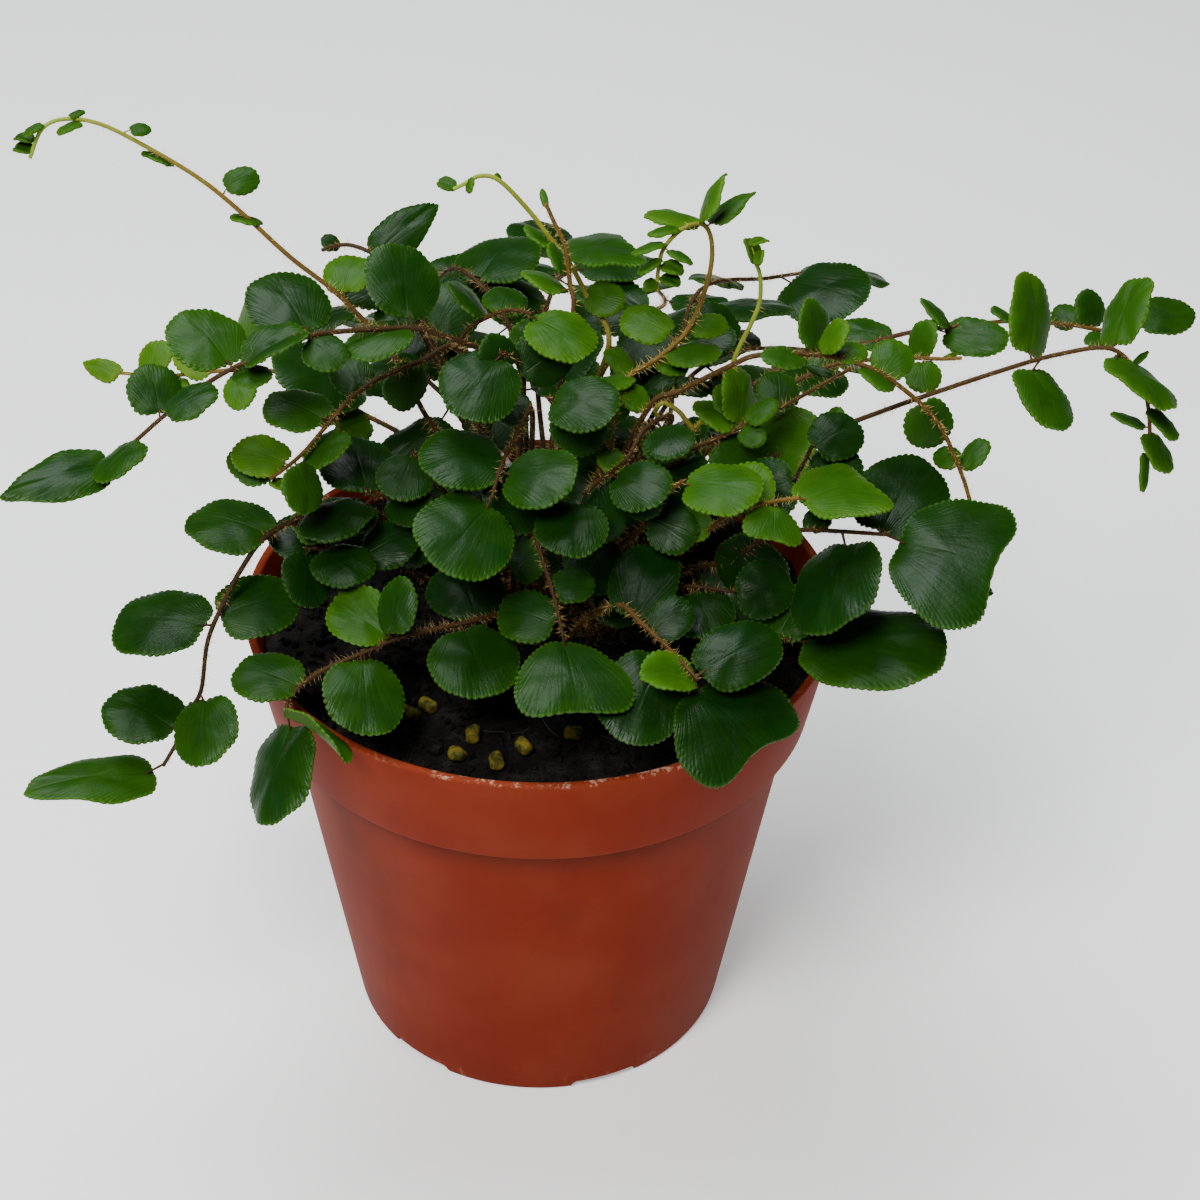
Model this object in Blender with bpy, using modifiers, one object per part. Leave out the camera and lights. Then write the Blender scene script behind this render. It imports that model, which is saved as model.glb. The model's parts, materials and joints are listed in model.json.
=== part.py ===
# Potted button fern: a thin plastic nursery pot, its soil, feed pellets, and wiry fronds of round leaflets.
# Metres, +Z up. The origin is the middle of the pot's underside, and -Y faces the viewer.

import math
import random
from collections import namedtuple

import bmesh
import bpy
from mathutils import Matrix, Vector
from mathutils.bvhtree import BVHTree

MM = 0.001

# Pot
POT_HEIGHT = 90 * MM
LIP_RADIUS = 53.5 * MM
LIP_WIDTH = 1.6 * MM
BAND_DEPTH = 19.7 * MM
BAND_FOOT_RADIUS = 49.7 * MM
SHOULDER_DROP = 1.4 * MM
BODY_TOP_RADIUS = 46.6 * MM
BASE_RADIUS = 35.9 * MM
BASE_ROUNDING = 1.0 * MM
WALL = 1.2 * MM
FLOOR = 3.8 * MM
POT_STEPS = 32
FOOT_COUNT = 6
FIRST_NOTCH_TURN = math.radians(22)
NOTCH_WIDTH = 13 * MM
NOTCH_DEPTH = 6 * MM
NOTCH_HEIGHT = 1.8 * MM
DRAIN_RADIUS = 2.4 * MM
DRAIN_RING = 31.5 * MM

# Soil and what lies on it
CLEARANCE = 0.3 * MM
SOIL_EASE = 0.75 * MM
SOIL_LEVEL = 85 * MM
SOIL_MOUND = 1.2 * MM
SOIL_BUMP = 0.55 * MM
SOIL_STEPS = 24
PELLET_LENGTH = 3.0 * MM
PELLET_RADIUS = 1.15 * MM
PELLET_SIDES = 8
PELLET_SPREAD = 47.5 * MM

# Stems and leaflets
STEM_SIDES = 3
STEM_RADIUS = 0.65 * MM
TIP_RADIUS = 0.5 * MM
STEM_STEP = 15 * MM
HOLE_SIDES = 4
HOLE_RADIUS = 1.4 * MM
STEM_ROOM = 0.6 * MM
DEPTH_SHIFTS = (0, 2, -2, 4, -4, 6, -6, 8, -8)
BOWS = (
    (0, 0), (3, 0), (-3, 0), (0, 3), (0, -3), (5, 3), (-5, 3), (5, -3), (-5, -3), (8, 0), (-8, 0), (0, 8),
    (0, -8),
)
BOW_LIFT = 0.12
START_PULL = 0.8
ROOT_DEPTH = 5 * MM
ROOT_RISE = 3 * MM
BLADE_THICKNESS = 0.62 * MM
SPARE = 0.36 * MM
SIBLING_SPARE = 0.02 * MM
SIBLING_TRIES = 80
CUP = 0.07
WAVE = 0.014
NOTCH_SPREAD = 0.4
FORWARD_GAIN = 1.5
SCALLOP = 0.03
LEAST_LEAN = math.radians(18)
LEAST_TURN = math.radians(14)
RIM_POINTS = ((19.5 * MM, 12), (12.5 * MM, 10), (6.5 * MM, 8), (4.5 * MM, 6), (0, 4))
REAR_RIM_POINTS = 8
NECK_THICKNESS = 0.4 * MM
PLACES_PER_STEP = 6
SHARP_BLADE = math.radians(40)
SHARP_POT = math.radians(30)

# Hidden fronds at the back, which a rule places
REAR_COUNT = 7
REAR_SEED = 7
REAR_FIRST = math.radians(28)
REAR_SWEEP = math.radians(124)
REAR_TURN = 0.12
REAR_REACH = (48 * MM, 80 * MM)
REAR_PEAK = (106 * MM, 132 * MM)
REAR_DROOP = (6 * MM, 30 * MM)
REAR_SWAY = 4 * MM
REAR_MIDDLE = Vector((2 * MM, 9 * MM, 0))
REAR_RING = 9 * MM
REAR_TRIES = 40
REAR_LEAFLETS = 6
REAR_BARE = 0.3
REAR_STALK = 1.2 * MM
REAR_LEAF_LENGTH = (12 * MM, 19 * MM)

# The sight lines: a place on a frond is read as a column and a row of the square picture, and a depth along Y
PICTURE_MIDDLE = 600
SIGHT_SCALE = 2611.5
EYE_ANGLE = math.radians(35.96)
EYE_ROLL = math.radians(1.2)
EYE_DISTANCE = 500 * MM
AIM_HEIGHT = 45 * MM
AIM_ACROSS = 11.42 * MM
AIM_UP = 35.87 * MM

# Outline of a leaflet: breadth over length, how square its sides are, how far its broad part is from the
# middle, how deep its tip is notched, and how far its blade is folded up along the midrib
Outline = namedtuple("Outline", "breadth fullness forward notch fold")
OUTLINES = {
    "round": Outline(0.94, 0.92, 0.00, 0.00, 0.00),
    "oval": Outline(0.78, 0.92, 0.00, 0.00, 0.00),
    "long": Outline(0.62, 0.88, -0.05, 0.00, 0.10),
    "point": Outline(0.50, 1.15, -0.28, 0.00, 0.12),
    "fold": Outline(0.80, 0.92, 0.00, 0.00, 0.45),
    "thin": Outline(0.30, 1.05, 0.00, 0.00, 0.10),
    "fan": Outline(1.12, 0.85, 0.22, 0.17, 0.00),
    "lobed": Outline(1.35, 0.80, 0.18, 0.26, 0.00),
}

# A leaflet as seen: where it leaves the stem, its tip, its seen breadth, its outline, whether its tip leans
# towards the viewer (1), away (-1) or to whichever side turns its face up (0), and whether it is turned about
# its midrib so that its face looks up (1) or down (-1)
Leaf = namedtuple("Leaf", "base_u base_v tip_u tip_v breadth form lean turn", defaults=("round", 0, 1))

# A frond: its name, its root across and along the soil in millimetres, its stem as (column, row, depth in
# millimetres) and its leaflets
Frond = namedtuple("Frond", "name root stem leaves")

FRONDS = (
    Frond("frond_left_tall", (-4, 6), (
        (428, 419, 5), (396, 360, 8), (344, 300, 11), (290, 257, 13), (243, 214, 15), (200, 179, 16),
        (145, 146, 17), (100, 124, 18), (65, 119, 18), (42, 129, 17), (30, 158, 16)), (
        Leaf(344, 291, 350, 250, 50), Leaf(262, 222, 230, 212, 7, "oval"),
        Leaf(224, 187, 258, 172, 28, "oval"),
        Leaf(173, 163, 143, 148, 6, "oval"), Leaf(129, 129, 150, 127, 12, "oval"),
        Leaf(82, 120, 57, 131, 7, "long"), Leaf(68, 116, 84, 110, 5, "long"),
        Leaf(42, 122, 24, 134, 7, "long"),
        Leaf(33, 150, 12, 146, 12, "fold"), Leaf(34, 140, 13, 136, 9, "fold"))),
    Frond("frond_left_arch", (-1, 0), (
        (505, 370, -3), (480, 349, -5), (440, 335, -7), (414, 328, -8), (334, 332, -12), (300, 339, -14),
        (241, 364, -17), (200, 388, -20), (165, 415, -23), (140, 437, -25), (113, 460, -27)), (
        Leaf(115, 458, 7, 490, 45, "point"), Leaf(140, 437, 103, 484, 28, "oval"),
        Leaf(160, 415, 150, 360, 55), Leaf(163, 413, 216, 392, 28, "oval"), Leaf(232, 364, 180, 305, 68),
        Leaf(240, 363, 308, 340, 28, "fold"), Leaf(308, 331, 270, 255, 74), Leaf(305, 338, 345, 362, 40),
        Leaf(408, 318, 400, 238, 75), Leaf(411, 322, 345, 350, 42, "oval"),
        Leaf(232, 368, 272, 384, 26, "oval"),
        Leaf(506, 369, 538, 370, 28))),
    Frond("frond_left_rear", (-9, 13), (
        (410, 440, 24), (360, 412, 32), (300, 377, 38), (240, 370, 42), (165, 376, 46), (122, 373, 48)), (
        Leaf(120, 375, 79, 360, 22, "point"), Leaf(150, 374, 158, 338, 32),
        Leaf(160, 376, 178, 400, 40, "oval"),
        Leaf(215, 371, 178, 340, 45), Leaf(238, 371, 240, 408, 34, "oval"),
        Leaf(250, 370, 248, 285, 36, "oval"),
        Leaf(300, 377, 322, 345, 34), Leaf(372, 418, 340, 430, 40), Leaf(330, 396, 318, 425, 34))),
    Frond("frond_left_inner", (-6, -1), (
        (460, 351, 4), (420, 362, 0), (380, 378, -5), (350, 399, -9), (328, 424, -13), (300, 456, -18),
        (270, 479, -22)), (
        Leaf(328, 417, 264, 393, 45), Leaf(345, 427, 305, 463, 28, "oval"), Leaf(287, 462, 232, 442, 44),
        Leaf(275, 478, 232, 440, 50, "oval", -1), Leaf(270, 480, 290, 490, 12, "fold"),
        Leaf(362, 392, 340, 350, 42, "oval", -1), Leaf(392, 372, 422, 400, 50, "round", -1),
        Leaf(296, 462, 308, 512, 38, "round", -1))),
    Frond("frond_rear_left_high", (-2, 12), (
        (440, 360, 18), (415, 300, 24), (385, 262, 28), (350, 245, 31), (322, 250, 33)), (
        Leaf(372, 255, 438, 200, 42, "point", -1), Leaf(334, 251, 328, 232, 18), Leaf(398, 280, 340, 285, 48),
        Leaf(420, 310, 376, 318, 30, "oval"), Leaf(432, 335, 470, 285, 60))),
    Frond("frond_left_short", (-9, -6), (
        (430, 520, -8), (400, 500, -12), (366, 494, -15)), (
        Leaf(367, 490, 350, 430, 78), Leaf(385, 498, 430, 510, 45, "oval"),
        Leaf(370, 500, 305, 540, 40, "oval"),
        Leaf(430, 516, 395, 560, 55, "round", -1))),
    Frond("frond_left_low", (-12, -1), (
        (345, 505, -11), (300, 518, -15), (264, 538, -20), (242, 568, -24), (226, 598, -27), (208, 640, -31),
        (202, 686, -34), (194, 706, -35), (177, 742, -38), (163, 766, -40)), (
        Leaf(272, 532, 187, 508, 57), Leaf(290, 525, 373, 505, 44, "oval"), Leaf(207, 622, 109, 612, 70),
        Leaf(216, 614, 293, 592, 66), Leaf(178, 728, 107, 690, 64), Leaf(203, 693, 209, 765, 65),
        Leaf(161, 767, 32, 783, 45, "point"))),
    Frond("frond_front_left", (-4, -13), (
        (500, 614, -26), (460, 624, -30), (400, 637, -34), (360, 654, -36), (320, 672, -38), (292, 694, -40),
        (286, 711, -43)), (
        Leaf(300, 684, 234, 662, 54), Leaf(363, 654, 368, 731, 81), Leaf(391, 637, 330, 598, 60, "fold"),
        Leaf(462, 622, 487, 691, 88), Leaf(288, 716, 264, 820, 56, "oval"),
        Leaf(287, 709, 312, 785, 18, "fold"),
        Leaf(478, 617, 455, 560, 78, "round", -1), Leaf(390, 636, 405, 580, 37, "oval", -1))),
    Frond("frond_front_middle", (1, -9), (
        (530, 520, -20), (546, 570, -28), (556, 604, -33), (563, 636, -37)), (
        Leaf(563, 636, 580, 712, 112, "fan"), Leaf(557, 622, 497, 606, 54),
        Leaf(553, 592, 592, 575, 38, "round", -1),
        Leaf(538, 548, 508, 575, 44, "oval", -1))),
    Frond("frond_centre", (-2, -4), (
        (532, 410, -8), (520, 428, -12), (512, 444, -15), (504, 460, -19), (498, 476, -22), (492, 498, -25)), (
        Leaf(493, 499, 440, 562, 98), Leaf(506, 449, 422, 460, 60), Leaf(501, 472, 578, 485, 62),
        Leaf(526, 418, 500, 395, 36, "round", -1), Leaf(498, 470, 530, 530, 60, "round", -1))),
    Frond("frond_centre_right", (7, -5), (
        (672, 420, -3), (646, 428, -7), (626, 460, -13), (600, 480, -19), (584, 494, -23)), (
        Leaf(583, 497, 560, 552, 70), Leaf(640, 446, 684, 440, 34), Leaf(612, 474, 668, 500, 50),
        Leaf(600, 482, 608, 540, 46, "oval", -1), Leaf(660, 424, 680, 460, 50))),
    Frond("frond_tall_nodding", (4, 1), (
        (608, 452, -6), (614, 420, -4), (628, 378, 1), (654, 361, 5), (688, 330, 9), (708, 280, 12),
        (712, 245, 13), (704, 225, 12), (684, 228, 9), (664, 248, 6), (658, 272, 5), (657, 292, 4)), (
        Leaf(672, 333, 621, 310, 38, "oval"), Leaf(689, 329, 728, 318, 26, "oval"),
        Leaf(704, 222, 647, 208, 15, "oval"), Leaf(699, 222, 731, 175, 10, "point"),
        Leaf(709, 222, 754, 187, 15, "point"), Leaf(680, 226, 648, 233, 8, "long"),
        Leaf(665, 240, 632, 252, 7, "long"), Leaf(668, 248, 693, 262, 7, "long"),
        Leaf(660, 256, 637, 273, 8, "long"), Leaf(660, 264, 683, 272, 14, "fold"),
        Leaf(660, 276, 680, 284, 13, "fold"), Leaf(657, 280, 644, 290, 13, "fold"),
        Leaf(656, 364, 690, 364, 18, "oval"), Leaf(664, 356, 721, 354, 22, "oval"),
        Leaf(634, 372, 586, 387, 15, "oval"),
        Leaf(632, 382, 642, 412, 26), Leaf(614, 420, 586, 434, 30), Leaf(609, 446, 614, 472, 28))),
    Frond("frond_behind_nodding", (9, 9), (
        (668, 420, 16), (672, 380, 22), (676, 345, 26), (690, 325, 28)), (
        Leaf(676, 345, 614, 342, 46), Leaf(690, 325, 742, 322, 46), Leaf(678, 338, 735, 345, 40, "oval"),
        Leaf(672, 380, 712, 388, 20, "oval"), Leaf(672, 372, 645, 392, 18, "oval"))),
    Frond("fiddlehead_small", (8, 3), (
        (690, 440, 2), (684, 418, 3), (674, 408, 4), (663, 403, 4), (655, 411, 4), (662, 420, 4),
        (668, 413, 4)), ()),
    Frond("fiddlehead_thin", (0, 8), (
        (609, 344, 13), (590, 302, 17), (570, 264, 19), (550, 238, 20), (530, 212, 21), (500, 181, 21),
        (480, 176, 21), (464, 184, 20), (452, 190, 20)), (
        Leaf(558, 248, 527, 222, 11, "oval"), Leaf(563, 252, 638, 238, 37, "lobed", -1),
        Leaf(584, 292, 623, 303, 37),
        Leaf(469, 177, 468, 193, 7, "oval"), Leaf(500, 182, 498, 172, 5, "oval"),
        Leaf(456, 188, 437, 180, 14, "fold"),
        Leaf(608, 345, 632, 372, 22, "oval"))),
    Frond("frond_upright_brown", (-1, 4), (
        (573, 316, 7), (570, 284, 9), (565, 246, 11), (554, 222, 12), (546, 204, 12)), (
        Leaf(547, 206, 541, 186, 8, "thin"), Leaf(568, 291, 524, 266, 14, "oval"),
        Leaf(566, 274, 552, 240, 14, "long"))),
    Frond("frond_crown_left", (-6, 4), (
        (462, 362, 9), (466, 332, 9), (490, 316, 7), (512, 310, 5), (532, 314, 2)), (
        Leaf(532, 314, 592, 350, 52), Leaf(488, 317, 452, 276, 16, "oval"),
        Leaf(500, 312, 512, 284, 45, "round", -1),
        Leaf(530, 315, 545, 372, 60, "round", -1))),
    Frond("frond_crown_low", (-5, -3), (
        (524, 380, -1), (512, 358, -5), (500, 352, -7)), (
        Leaf(500, 352, 460, 414, 80), Leaf(516, 366, 478, 350, 40, "round", -1),
        Leaf(522, 376, 560, 352, 60))),
    Frond("frond_crown_middle", (3, -2), (
        (560, 430, -6), (556, 408, -9), (548, 398, -11)), (
        Leaf(548, 398, 618, 404, 56), Leaf(556, 410, 600, 440, 60, "round", -1))),
    Frond("frond_right_rear", (12, 11), (
        (760, 380, 20), (820, 352, 23), (868, 343, 25), (912, 332, 26), (960, 326, 27), (1014, 321, 28),
        (1070, 325, 28), (1106, 330, 28), (1137, 320, 28)), (
        Leaf(893, 337, 838, 325, 32, "oval"), Leaf(940, 330, 1006, 340, 38, "long"),
        Leaf(950, 327, 920, 302, 9, "long"), Leaf(930, 331, 934, 318, 10, "oval"),
        Leaf(1015, 321, 993, 305, 8, "oval"),
        Leaf(1074, 326, 1056, 305, 28, "oval", -1), Leaf(1092, 328, 1088, 290, 32),
        Leaf(1137, 320, 1197, 303, 40, "oval"),
        Leaf(1100, 330, 1092, 346, 22, "oval"), Leaf(838, 348, 812, 372, 30, "oval"))),
    Frond("frond_right_long", (11, 0), (
        (760, 464, 4), (820, 435, 6), (880, 412, 5), (922, 397, 4), (1000, 371, 2), (1060, 354, 0),
        (1112, 349, -2), (1140, 378, -4), (1148, 406, -5), (1150, 436, -6), (1150, 452, -6)), (
        Leaf(1032, 358, 1036, 266, 40, "long"), Leaf(1030, 362, 1056, 434, 44, "oval"),
        Leaf(1110, 347, 1140, 268, 38, "long"), Leaf(1112, 350, 1165, 412, 28, "oval"),
        Leaf(1130, 366, 1150, 352, 6, "thin"), Leaf(1150, 406, 1178, 437, 14, "long"),
        Leaf(1147, 427, 1114, 411, 8, "long"), Leaf(1150, 430, 1170, 470, 22, "oval"),
        Leaf(1148, 450, 1145, 492, 9, "thin"), Leaf(820, 435, 838, 404, 18, "oval", -1),
        Leaf(818, 436, 742, 455, 86, "round", -1))),
    Frond("frond_right_inner", (8, -1), (
        (680, 457, -3), (720, 437, -1), (760, 418, 2), (800, 397, 5), (830, 380, 7), (852, 368, 8)), (
        Leaf(741, 425, 742, 364, 34, "oval"), Leaf(740, 424, 717, 388, 26, "oval"),
        Leaf(746, 422, 776, 402, 20, "oval"),
        Leaf(738, 428, 698, 398, 24, "oval"), Leaf(738, 430, 764, 440, 24, "oval"),
        Leaf(780, 408, 776, 374, 44, "round", -1),
        Leaf(836, 377, 806, 366, 10, "thin"), Leaf(700, 448, 640, 470, 48),
        Leaf(716, 440, 770, 490, 60, "round", -1))),
    Frond("frond_right_arch", (6, -3), (
        (650, 406, -5), (680, 391, -5), (730, 366, -6), (760, 355, -6), (820, 355, -6), (870, 368, -8),
        (912, 396, -10), (940, 426, -12), (960, 470, -14), (968, 494, -15), (975, 524, -17), (976, 560, -19),
        (965, 594, -21)), (
        Leaf(806, 354, 762, 355, 22, "oval"), Leaf(816, 352, 819, 297, 32, "oval"),
        Leaf(824, 354, 844, 320, 22),
        Leaf(836, 357, 866, 344, 24), Leaf(862, 364, 893, 388, 14, "oval"),
        Leaf(880, 374, 905, 344, 44, "round", -1),
        Leaf(920, 402, 940, 447, 50, "round", -1), Leaf(957, 463, 936, 450, 26, "oval"),
        Leaf(963, 470, 982, 435, 24, "oval"),
        Leaf(976, 540, 993, 536, 12, "oval"), Leaf(967, 590, 948, 600, 14, "fold"),
        Leaf(968, 592, 994, 590, 14, "fold"))),
    Frond("frond_right_thin", (13, 5), (
        (780, 392, 12), (826, 368, 14), (857, 361, 15), (905, 358, 16), (942, 359, 16), (962, 358, 16)), (
        Leaf(922, 358, 926, 392, 36), Leaf(920, 358, 926, 320, 28), Leaf(942, 359, 960, 352, 6, "thin"))),
    Frond("fiddlehead_right", (10, 6), (
        (712, 410, 9), (726, 382, 11), (738, 350, 13), (752, 322, 14), (760, 300, 15), (760, 275, 15),
        (755, 262, 15)), (
        Leaf(756, 264, 748, 236, 14, "fold"), Leaf(757, 266, 764, 250, 8, "fold"),
        Leaf(749, 244, 769, 239, 6, "fold"))),
    Frond("frond_right_front", (13, -6), (
        (730, 560, -14), (768, 536, -18), (800, 530, -21), (850, 532, -24), (890, 535, -26)), (
        Leaf(880, 532, 925, 448, 92, "oval"), Leaf(892, 536, 1004, 566, 86, "lobed"),
        Leaf(845, 533, 828, 640, 81),
        Leaf(808, 530, 826, 508, 26), Leaf(756, 540, 742, 602, 76, "round", -1))),
    Frond("frond_right_low", (14, -10), (
        (720, 640, -22), (756, 636, -26), (792, 640, -30)), (
        Leaf(792, 636, 940, 642, 82, "oval"), Leaf(730, 640, 752, 545, 86, "oval"),
        Leaf(776, 638, 812, 590, 50, "round", -1))),
    Frond("frond_right_bright", (9, -9), (
        (690, 545, -16), (730, 514, -20), (772, 502, -23), (800, 498, -25)), (
        Leaf(798, 499, 880, 474, 62, "lobed"), Leaf(775, 503, 773, 542, 56, "fan"),
        Leaf(740, 511, 758, 460, 52),
        Leaf(712, 528, 655, 515, 36, "oval"))),
    Frond("frond_centre_bright", (4, -7), (
        (640, 530, -14), (660, 500, -18), (682, 481, -21)), (
        Leaf(682, 481, 759, 488, 54), Leaf(664, 498, 620, 492, 50, "round", -1),
        Leaf(648, 516, 690, 545, 50, "round", -1))),
    Frond("frond_inner_left", (-14, -7), (
        (400, 566, -12), (350, 552, -16), (305, 548, -19)), (
        Leaf(362, 555, 415, 536, 46), Leaf(318, 548, 368, 584, 50), Leaf(306, 549, 312, 606, 48),
        Leaf(385, 562, 330, 520, 50, "round", -1), Leaf(330, 548, 270, 530, 46, "round", -1))),
    Frond("frond_inner_centre", (-8, -9), (
        (478, 540, -8), (445, 492, -10), (412, 452, -11)), (
        Leaf(413, 453, 396, 496, 56), Leaf(445, 492, 486, 512, 56),
        Leaf(430, 474, 470, 438, 50, "round", -1))),
    Frond("frond_inner_middle", (0, -12), (
        (560, 560, -12), (600, 522, -14), (640, 506, -15)), (
        Leaf(605, 520, 640, 480, 52), Leaf(586, 532, 604, 592, 62), Leaf(640, 506, 694, 506, 50),
        Leaf(570, 550, 520, 545, 46, "round", -1))),
    Frond("frond_inner_right", (9, -13), (
        (640, 600, -16), (680, 586, -20), (734, 592, -24)), (
        Leaf(652, 596, 606, 548, 62), Leaf(690, 587, 716, 632, 60), Leaf(642, 600, 596, 604, 50),
        Leaf(734, 592, 792, 588, 58))),
    Frond("frond_inner_rear", (16, 0), (
        (780, 500, -6), (800, 470, -8), (812, 446, -9)), (
        Leaf(812, 446, 862, 420, 50), Leaf(796, 478, 742, 500, 62, "round", -1),
        Leaf(806, 460, 860, 480, 50))),
    Frond("frond_front_right", (5, -15), (
        (620, 605, -28), (640, 622, -32), (660, 640, -36), (680, 660, -41), (698, 680, -45)), (
        Leaf(697, 672, 779, 630, 68, "oval"), Leaf(698, 676, 638, 680, 40, "fold"),
        Leaf(694, 682, 770, 756, 116, "lobed"),
        Leaf(664, 648, 625, 738, 86, "oval"), Leaf(632, 616, 655, 540, 70, "oval"),
        Leaf(650, 632, 690, 606, 44, "round", -1))),
)

# Feed pellets: column and row of each one's middle on the soil, and its turn in degrees
PELLETS = (
    (428, 711, 47), (411, 720, 47), (473, 739, 0), (524, 754, 35), (457, 761, 60), (497, 769, 10),
    (574, 738, 80), (320, 598, 15), (290, 552, 100),
)

palette = {
    "terracotta_plastic": ((0.42, 0.085, 0.025), 0.42),
    "peat": ((0.006, 0.005, 0.004), 0.95),
    "feed_yellow": ((0.22, 0.19, 0.04), 0.6),
    "leaf_green": ((0.02, 0.085, 0.012), 0.35),
    "young_green": ((0.13, 0.26, 0.02), 0.45),
}


def clear_scene():
    for obj in list(bpy.data.objects):
        bpy.data.objects.remove(obj, do_unlink=True)
    for group in list(bpy.data.collections):
        bpy.data.collections.remove(group)


def new_collection(name):
    group = bpy.data.collections.new(name)
    bpy.context.scene.collection.children.link(group)
    return group


def make_material(name):
    colour, roughness = palette[name]
    material = bpy.data.materials.new(name)
    material.use_nodes = True
    shader = material.node_tree.nodes["Principled BSDF"]
    shader.inputs["Base Color"].default_value = (*colour, 1)
    shader.inputs["Roughness"].default_value = roughness
    shader.inputs["Metallic"].default_value = 0
    return material


def object_from_bmesh(name, bm, group, material_name=None):
    mesh = bpy.data.meshes.new(name)
    bm.to_mesh(mesh)
    bm.free()
    obj = bpy.data.objects.new(name, mesh)
    group.objects.link(obj)
    if material_name:
        mesh.materials.append(make_material(material_name))
    return obj


def bake_modifiers(obj):
    """Give the object its evaluated mesh and drop its modifiers."""
    depsgraph = bpy.context.evaluated_depsgraph_get()
    baked = bpy.data.meshes.new_from_object(obj.evaluated_get(depsgraph), depsgraph=depsgraph)
    obj.modifiers.clear()
    obj.data = baked


def cut(obj, cutter):
    boolean = obj.modifiers.new("cut", "BOOLEAN")
    boolean.operation = "DIFFERENCE"
    boolean.object = cutter


def hide_cutter(cutter):
    cutter.hide_render = True
    cutter.display_type = "WIRE"


def turned(name, profile, group, steps):
    """A closed profile of (radius, height) points, listed down its outer side, turned round Z."""
    bm = bmesh.new()
    rim = [bm.verts.new((radius, 0, height)) for radius, height in profile]
    for first, second in zip(rim, rim[1:]):
        bm.edges.new((first, second))
    if profile[0][0] > 0:
        bm.edges.new((rim[-1], rim[0]))
    obj = object_from_bmesh(name, bm, group)
    screw = obj.modifiers.new("turn", "SCREW")
    screw.steps = steps
    screw.render_steps = steps
    screw.use_merge_vertices = True
    screw.merge_threshold = 0.00001
    screw.use_normal_calculate = False
    return obj


# Pot

def outer_radius(height):
    """The pot's outside at a height below its shoulder."""
    shoulder = POT_HEIGHT - BAND_DEPTH - SHOULDER_DROP
    share = (height - BASE_ROUNDING) / (shoulder - BASE_ROUNDING)
    return BASE_RADIUS + (BODY_TOP_RADIUS - BASE_RADIUS) * share


def pot_profile():
    top = POT_HEIGHT
    band_foot = top - BAND_DEPTH
    shoulder = band_foot - SHOULDER_DROP
    round_off = 0.5 * MM
    outside = [
        (0, FLOOR), (outer_radius(FLOOR) - WALL, FLOOR), (BODY_TOP_RADIUS - WALL, shoulder + 0.4 * MM),
        (BAND_FOOT_RADIUS - WALL, band_foot + 0.9 * MM), (LIP_RADIUS - LIP_WIDTH, top - round_off),
        (LIP_RADIUS - LIP_WIDTH + round_off, top), (LIP_RADIUS - round_off, top), (LIP_RADIUS, top - round_off),
        (BAND_FOOT_RADIUS, band_foot + 0.6 * MM), (BAND_FOOT_RADIUS - 0.7 * MM, band_foot),
        (BODY_TOP_RADIUS, shoulder), (BASE_RADIUS, BASE_ROUNDING), (BASE_RADIUS - 0.3 * MM, 0.3 * MM),
        (BASE_RADIUS - BASE_ROUNDING, 0), (0, 0),
    ]
    return outside


def build_pot(group, cutters):
    pot = turned("pot", pot_profile(), group, POT_STEPS)
    pot.data.materials.append(make_material("terracotta_plastic"))
    for index in range(FOOT_COUNT):
        turn = FIRST_NOTCH_TURN + index * math.tau / FOOT_COUNT
        outward = Vector((math.sin(turn), -math.cos(turn), 0))
        bm = bmesh.new()
        bmesh.ops.create_cube(bm, size=1)
        size = Vector((NOTCH_WIDTH, 2 * NOTCH_DEPTH, 2 * NOTCH_HEIGHT))
        bmesh.ops.scale(bm, vec=size, verts=bm.verts)
        bmesh.ops.rotate(bm, matrix=Matrix.Rotation(turn, 3, "Z"), verts=bm.verts)
        bmesh.ops.translate(bm, vec=outward * (BASE_RADIUS + 0.2 * MM), verts=bm.verts)
        notch = object_from_bmesh(f"notch_{index}", bm, cutters)
        bm = bmesh.new()
        bmesh.ops.create_cone(
            bm, cap_ends=True, segments=8, radius1=DRAIN_RADIUS, radius2=DRAIN_RADIUS, depth=4 * FLOOR)
        bmesh.ops.translate(bm, vec=outward * DRAIN_RING, verts=bm.verts)
        drain = object_from_bmesh(f"drain_{index}", bm, cutters)
        for cutter in (notch, drain):
            hide_cutter(cutter)
            cut(pot, cutter)
    return pot


# Soil and pellets

def soil_height(x, y):
    wave = math.sin(x * 410 + 1.3) * math.sin(y * 370 + 0.4)
    wave += 0.6 * math.sin((x + y) * 660) * math.cos((x - y) * 520)
    share = min(1.0, math.hypot(x, y) / BODY_TOP_RADIUS)
    return SOIL_LEVEL + SOIL_MOUND * (1 - share * share) + SOIL_BUMP * wave


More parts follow.
